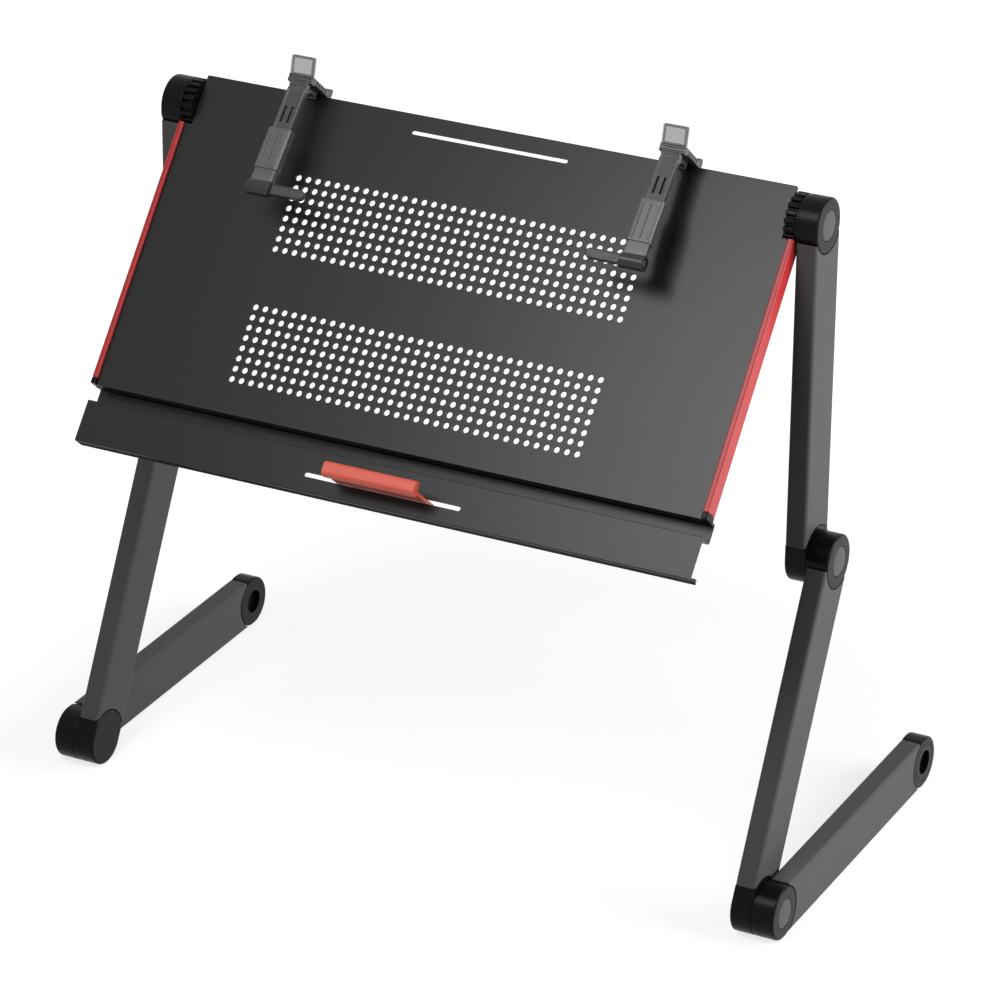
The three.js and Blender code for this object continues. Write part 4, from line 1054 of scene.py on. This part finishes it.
def clip_sleeve():
    """The slider on the arm, in the arm's frame, with three long ribs."""
    low, high = -ARM_THICKNESS - SLEEVE_WALL, SLEEVE_WALL
    section = [
        (low, -SLEEVE_HALF, SLEEVE_LOW_ROUND), (low, SLEEVE_HALF, SLEEVE_LOW_ROUND),
        (high, SLEEVE_HALF, SLEEVE_HIGH_ROUND), (high, -SLEEVE_HALF, SLEEVE_HIGH_ROUND),
    ]
    half = SLEEVE_HALF - SHOULDER_INSET_X
    inset_low, inset_high = low + SHOULDER_INSET_Z, high - SHOULDER_INSET_Z
    inset = [(inset_low, -half), (inset_low, half), (inset_high, half), (inset_high, -half)]
    shell = prism([filleted(section, steps=4)], SLEEVE_END, SLEEVE_START, ALONG_Y, MOULD_EASE)
    inset_outline = filleted(inset, SHOULDER_ROUND, steps=4)
    shoulder = prism([inset_outline], BARREL_Y, SLEEVE_END + PAST, ALONG_Y, FORM_EASE)
    ribs = [
        block((x - RIB_HALF, x + RIB_HALF), (SLEEVE_END + RIB_INSET, SLEEVE_START - RIB_INSET),
              (high - PAST, high + RIB_HEIGHT), FORM_EASE)
        for x in (-RIB_PITCH, 0, RIB_PITCH)
    ]
    hollow = block(
        (-ARM_HALF - GAP, ARM_HALF + GAP), (ARM_END - SLEEVE_TRAVEL - GAP, SLEEVE_START + PAST),
        (-ARM_THICKNESS - GAP, GAP),
    )
    return cut(fuse(shell, shoulder, *ribs), hollow, through_barrel(BARREL_ROOM))


def through_barrel(radius):
    """A cutter on the finger's axis, right through the sleeve's width."""
    return rod(radius, -SLEEVE_HALF - PAST, SLEEVE_HALF + PAST, BARREL_CENTRE, sides=56)


def clip_barrel():
    """The slider's round end, bored for the finger's shaft and wider at the shaft's tip."""
    return cut(
        rod(BARREL_RADIUS, -SLEEVE_HALF, SLEEVE_HALF, BARREL_CENTRE, 56, BARREL_EASE, bevel_steps=3),
        through_barrel(SHAFT_BORE),
        rod(SHAFT_MOUTH, SLEEVE_HALF - SHAFT_MOUTH_DEPTH, SLEEVE_HALF + PAST, BARREL_CENTRE, sides=56),
    )


def clip_finger():
    """The page finger round its own axis, reaching inwards from the sleeve's round end."""
    start = -SLEEVE_HALF - GAP
    tip = start - FINGER_LENGTH
    outline = [(start, -FINGER_HALF), (start, FINGER_HALF)]
    outline += arc(tip + FINGER_HALF, 0, FINGER_HALF, 90, 270, steps=20)
    thickness = (-FINGER_THICKNESS / 2, FINGER_THICKNESS / 2)
    paddle = prism([outline], *thickness, ALONG_Z, FINGER_EASE, bevel_steps=4)
    shaft = rod(SHAFT_RADIUS, start - PAST, SHAFT_END, sides=32, bevel=FORM_EASE)
    panel_half = FINGER_HALF - FINGER_RIM
    panel = block(
        (tip + FINGER_RIM, start - FINGER_RIM), (-panel_half, panel_half),
        (FINGER_THICKNESS / 2 - FINGER_SINK, FINGER_THICKNESS), FORM_EASE,
    )
    return cut(fuse(paddle, shaft), panel)


body_mesh = fuse(clip_neck(), transformed(clip_arm(), ARM_IN_CLIP))
# Name, mesh, frame, body, finish and CAD node
CLIP_PIECES = (
    ("grip", body_mesh, clip_frame, "clip", smoke, "body"),
    ("jaw", clip_jaw(), jaw_frame, "clip_jaw", smoke, "jaw"),
    ("slider", clip_sleeve(), arm_frame, "clip_sleeve", smoke_painted_highlight, "sleeve"),
    ("flap", clip_finger(), finger_frame, "clip_finger", smoke, "finger"),
    ("barrel", clip_barrel(), arm_frame, "clip_sleeve", smoke_painted_shade, "sleeve"),
    ("tab", clip_tab(), clip_frame, "clip", smoke_thin, "body"),
)
for side, sign in SIDES:
    for name, mesh, matrix, body, finish, node in CLIP_PIECES:
        piece(f"page_{name}_{side}", mesh, matrix, f"{body}_{side}", finish,
              f"clip_{node}_{side}", sign)


# ---------------------------------------------------------------- solids kept from the part's source
KEPT = {"lock_ring": nylon, "spring": steel, "pin": steel}
for name, node in frame["nodes"].items():
    for part, finish in KEPT.items():
        if part in name:
            node.data.materials.clear()
            node.data.materials.append(finish)


# ---------------------------------------------------------------- stage, light and camera
WHITE = (1, 1, 1, 1)
FLOOR_HALF = 30
GROUND_COLOUR = (0.36, 0.36, 0.36, 1)
GROUND_ROUGHNESS = 0.9
GROUND_SPECULAR = 0.1
GROUND_LIFT = 0.78            # a glow that only the camera sees, on the floor under the stand
GROUND_REACH = (0.3, 0.75)    # metres from the stand's middle, over which that glow rises to 1
WORLD_LIGHT, WORLD_SEEN = 0.12, 1.0
# Name, place, target, size and power
LAMPS = (
    ("key", (-0.13, -0.8, 1.27), (0.08, -0.06, 0.3), (0.55, 0.54), 8.4),
    ("side", (1.45, 0.4, 0.65), (0.1, 0, 0.25), (1.1, 1.3), 27),
)
CAMERA_PLACE = (1.283, -2.4227, 1.5137)
CAMERA_AZIMUTH, CAMERA_ELEVATION, CAMERA_ROLL = 27.6075, 25.5735, -0.07
CAMERA_LENS, CAMERA_SENSOR, CAMERA_CLIP = 174.9, 36, 100


def seen_directly(tree):
    """1 for what the camera sees, plainly or in a gloss or through glass; 0 for scattered light."""
    path = tree.nodes.new("ShaderNodeLightPath")
    value = path.outputs["Is Camera Ray"]
    for other in ("Is Glossy Ray", "Is Transmission Ray"):
        either = tree.nodes.new("ShaderNodeMath")
        either.operation = "MAXIMUM"
        tree.links.new(value, either.inputs[0])
        tree.links.new(path.outputs[other], either.inputs[1])
        value = either.outputs[0]
    return value


def white_ground():
    """A grey floor that shows as white away from the stand and keeps the stand's soft shadow."""
    result = bpy.data.materials.new("ground")
    result.use_nodes = True
    tree = result.node_tree
    shader = tree.nodes["Principled BSDF"]
    shader.inputs["Base Color"].default_value = GROUND_COLOUR
    shader.inputs["Roughness"].default_value = GROUND_ROUGHNESS
    shader.inputs["Specular IOR Level"].default_value = GROUND_SPECULAR
    shader.inputs["Emission Color"].default_value = WHITE
    place = tree.nodes.new("ShaderNodeTexCoord")
    distance = tree.nodes.new("ShaderNodeVectorMath")
    distance.operation = "LENGTH"
    tree.links.new(place.outputs["Object"], distance.inputs[0])
    rise = tree.nodes.new("ShaderNodeMapRange")
    rise.inputs["From Min"].default_value, rise.inputs["From Max"].default_value = GROUND_REACH
    rise.inputs["To Min"].default_value = GROUND_LIFT
    tree.links.new(distance.outputs["Value"], rise.inputs["Value"])
    lift = tree.nodes.new("ShaderNodeMath")
    lift.operation = "MULTIPLY"
    tree.links.new(seen_directly(tree), lift.inputs[0])
    tree.links.new(rise.outputs["Result"], lift.inputs[1])
    tree.links.new(lift.outputs[0], shader.inputs["Emission Strength"])
    return result


def area_light(name, place, target, size, power):
    light = bpy.data.lights.new(name, "AREA")
    light.shape = "RECTANGLE"
    light.size, light.size_y = size
    light.energy = power
    obj = in_scene(name, light)
    obj.location = place
    aim = Vector(target) - Vector(place)
    obj.rotation_euler = aim.to_track_quat("-Z", "Y").to_euler()
    obj.visible_camera = False


floor_mesh = bpy.data.meshes.new("floor")
floor_corners = [(x * FLOOR_HALF, y * FLOOR_HALF, 0) for x, y in ((-1, -1), (1, -1), (1, 1), (-1, 1))]
floor_mesh.from_pydata(floor_corners, [], [(0, 1, 2, 3)])
floor_mesh.materials.append(white_ground())
floor = in_scene("floor", floor_mesh)

world = bpy.data.worlds.new("studio")
bpy.context.scene.world = world
world.use_nodes = True
background = world.node_tree.nodes["Background"]
background.inputs["Color"].default_value = WHITE
level = world.node_tree.nodes.new("ShaderNodeMapRange")
level.inputs["To Min"].default_value = WORLD_LIGHT
level.inputs["To Max"].default_value = WORLD_SEEN
world.node_tree.links.new(seen_directly(world.node_tree), level.inputs["Value"])
world.node_tree.links.new(level.outputs["Result"], background.inputs["Strength"])

for lamp in LAMPS:
    area_light(*lamp)

camera = in_scene("camera", bpy.data.cameras.new("camera"))
camera.data.sensor_width = CAMERA_SENSOR
camera.data.lens = CAMERA_LENS
camera.data.clip_end = CAMERA_CLIP
camera.location = CAMERA_PLACE
azimuth, elevation, roll = (math.radians(angle) for angle in (CAMERA_AZIMUTH, CAMERA_ELEVATION, CAMERA_ROLL))
back = Vector((
    math.sin(azimuth) * math.cos(elevation), -math.cos(azimuth) * math.cos(elevation), math.sin(elevation),
))
camera.rotation_euler = (back.to_track_quat("Z", "Y") @ Quaternion((0, 0, 1), roll)).to_euler()
bpy.context.scene.camera = camera
bpy.context.scene.view_settings.view_transform = "Standard"
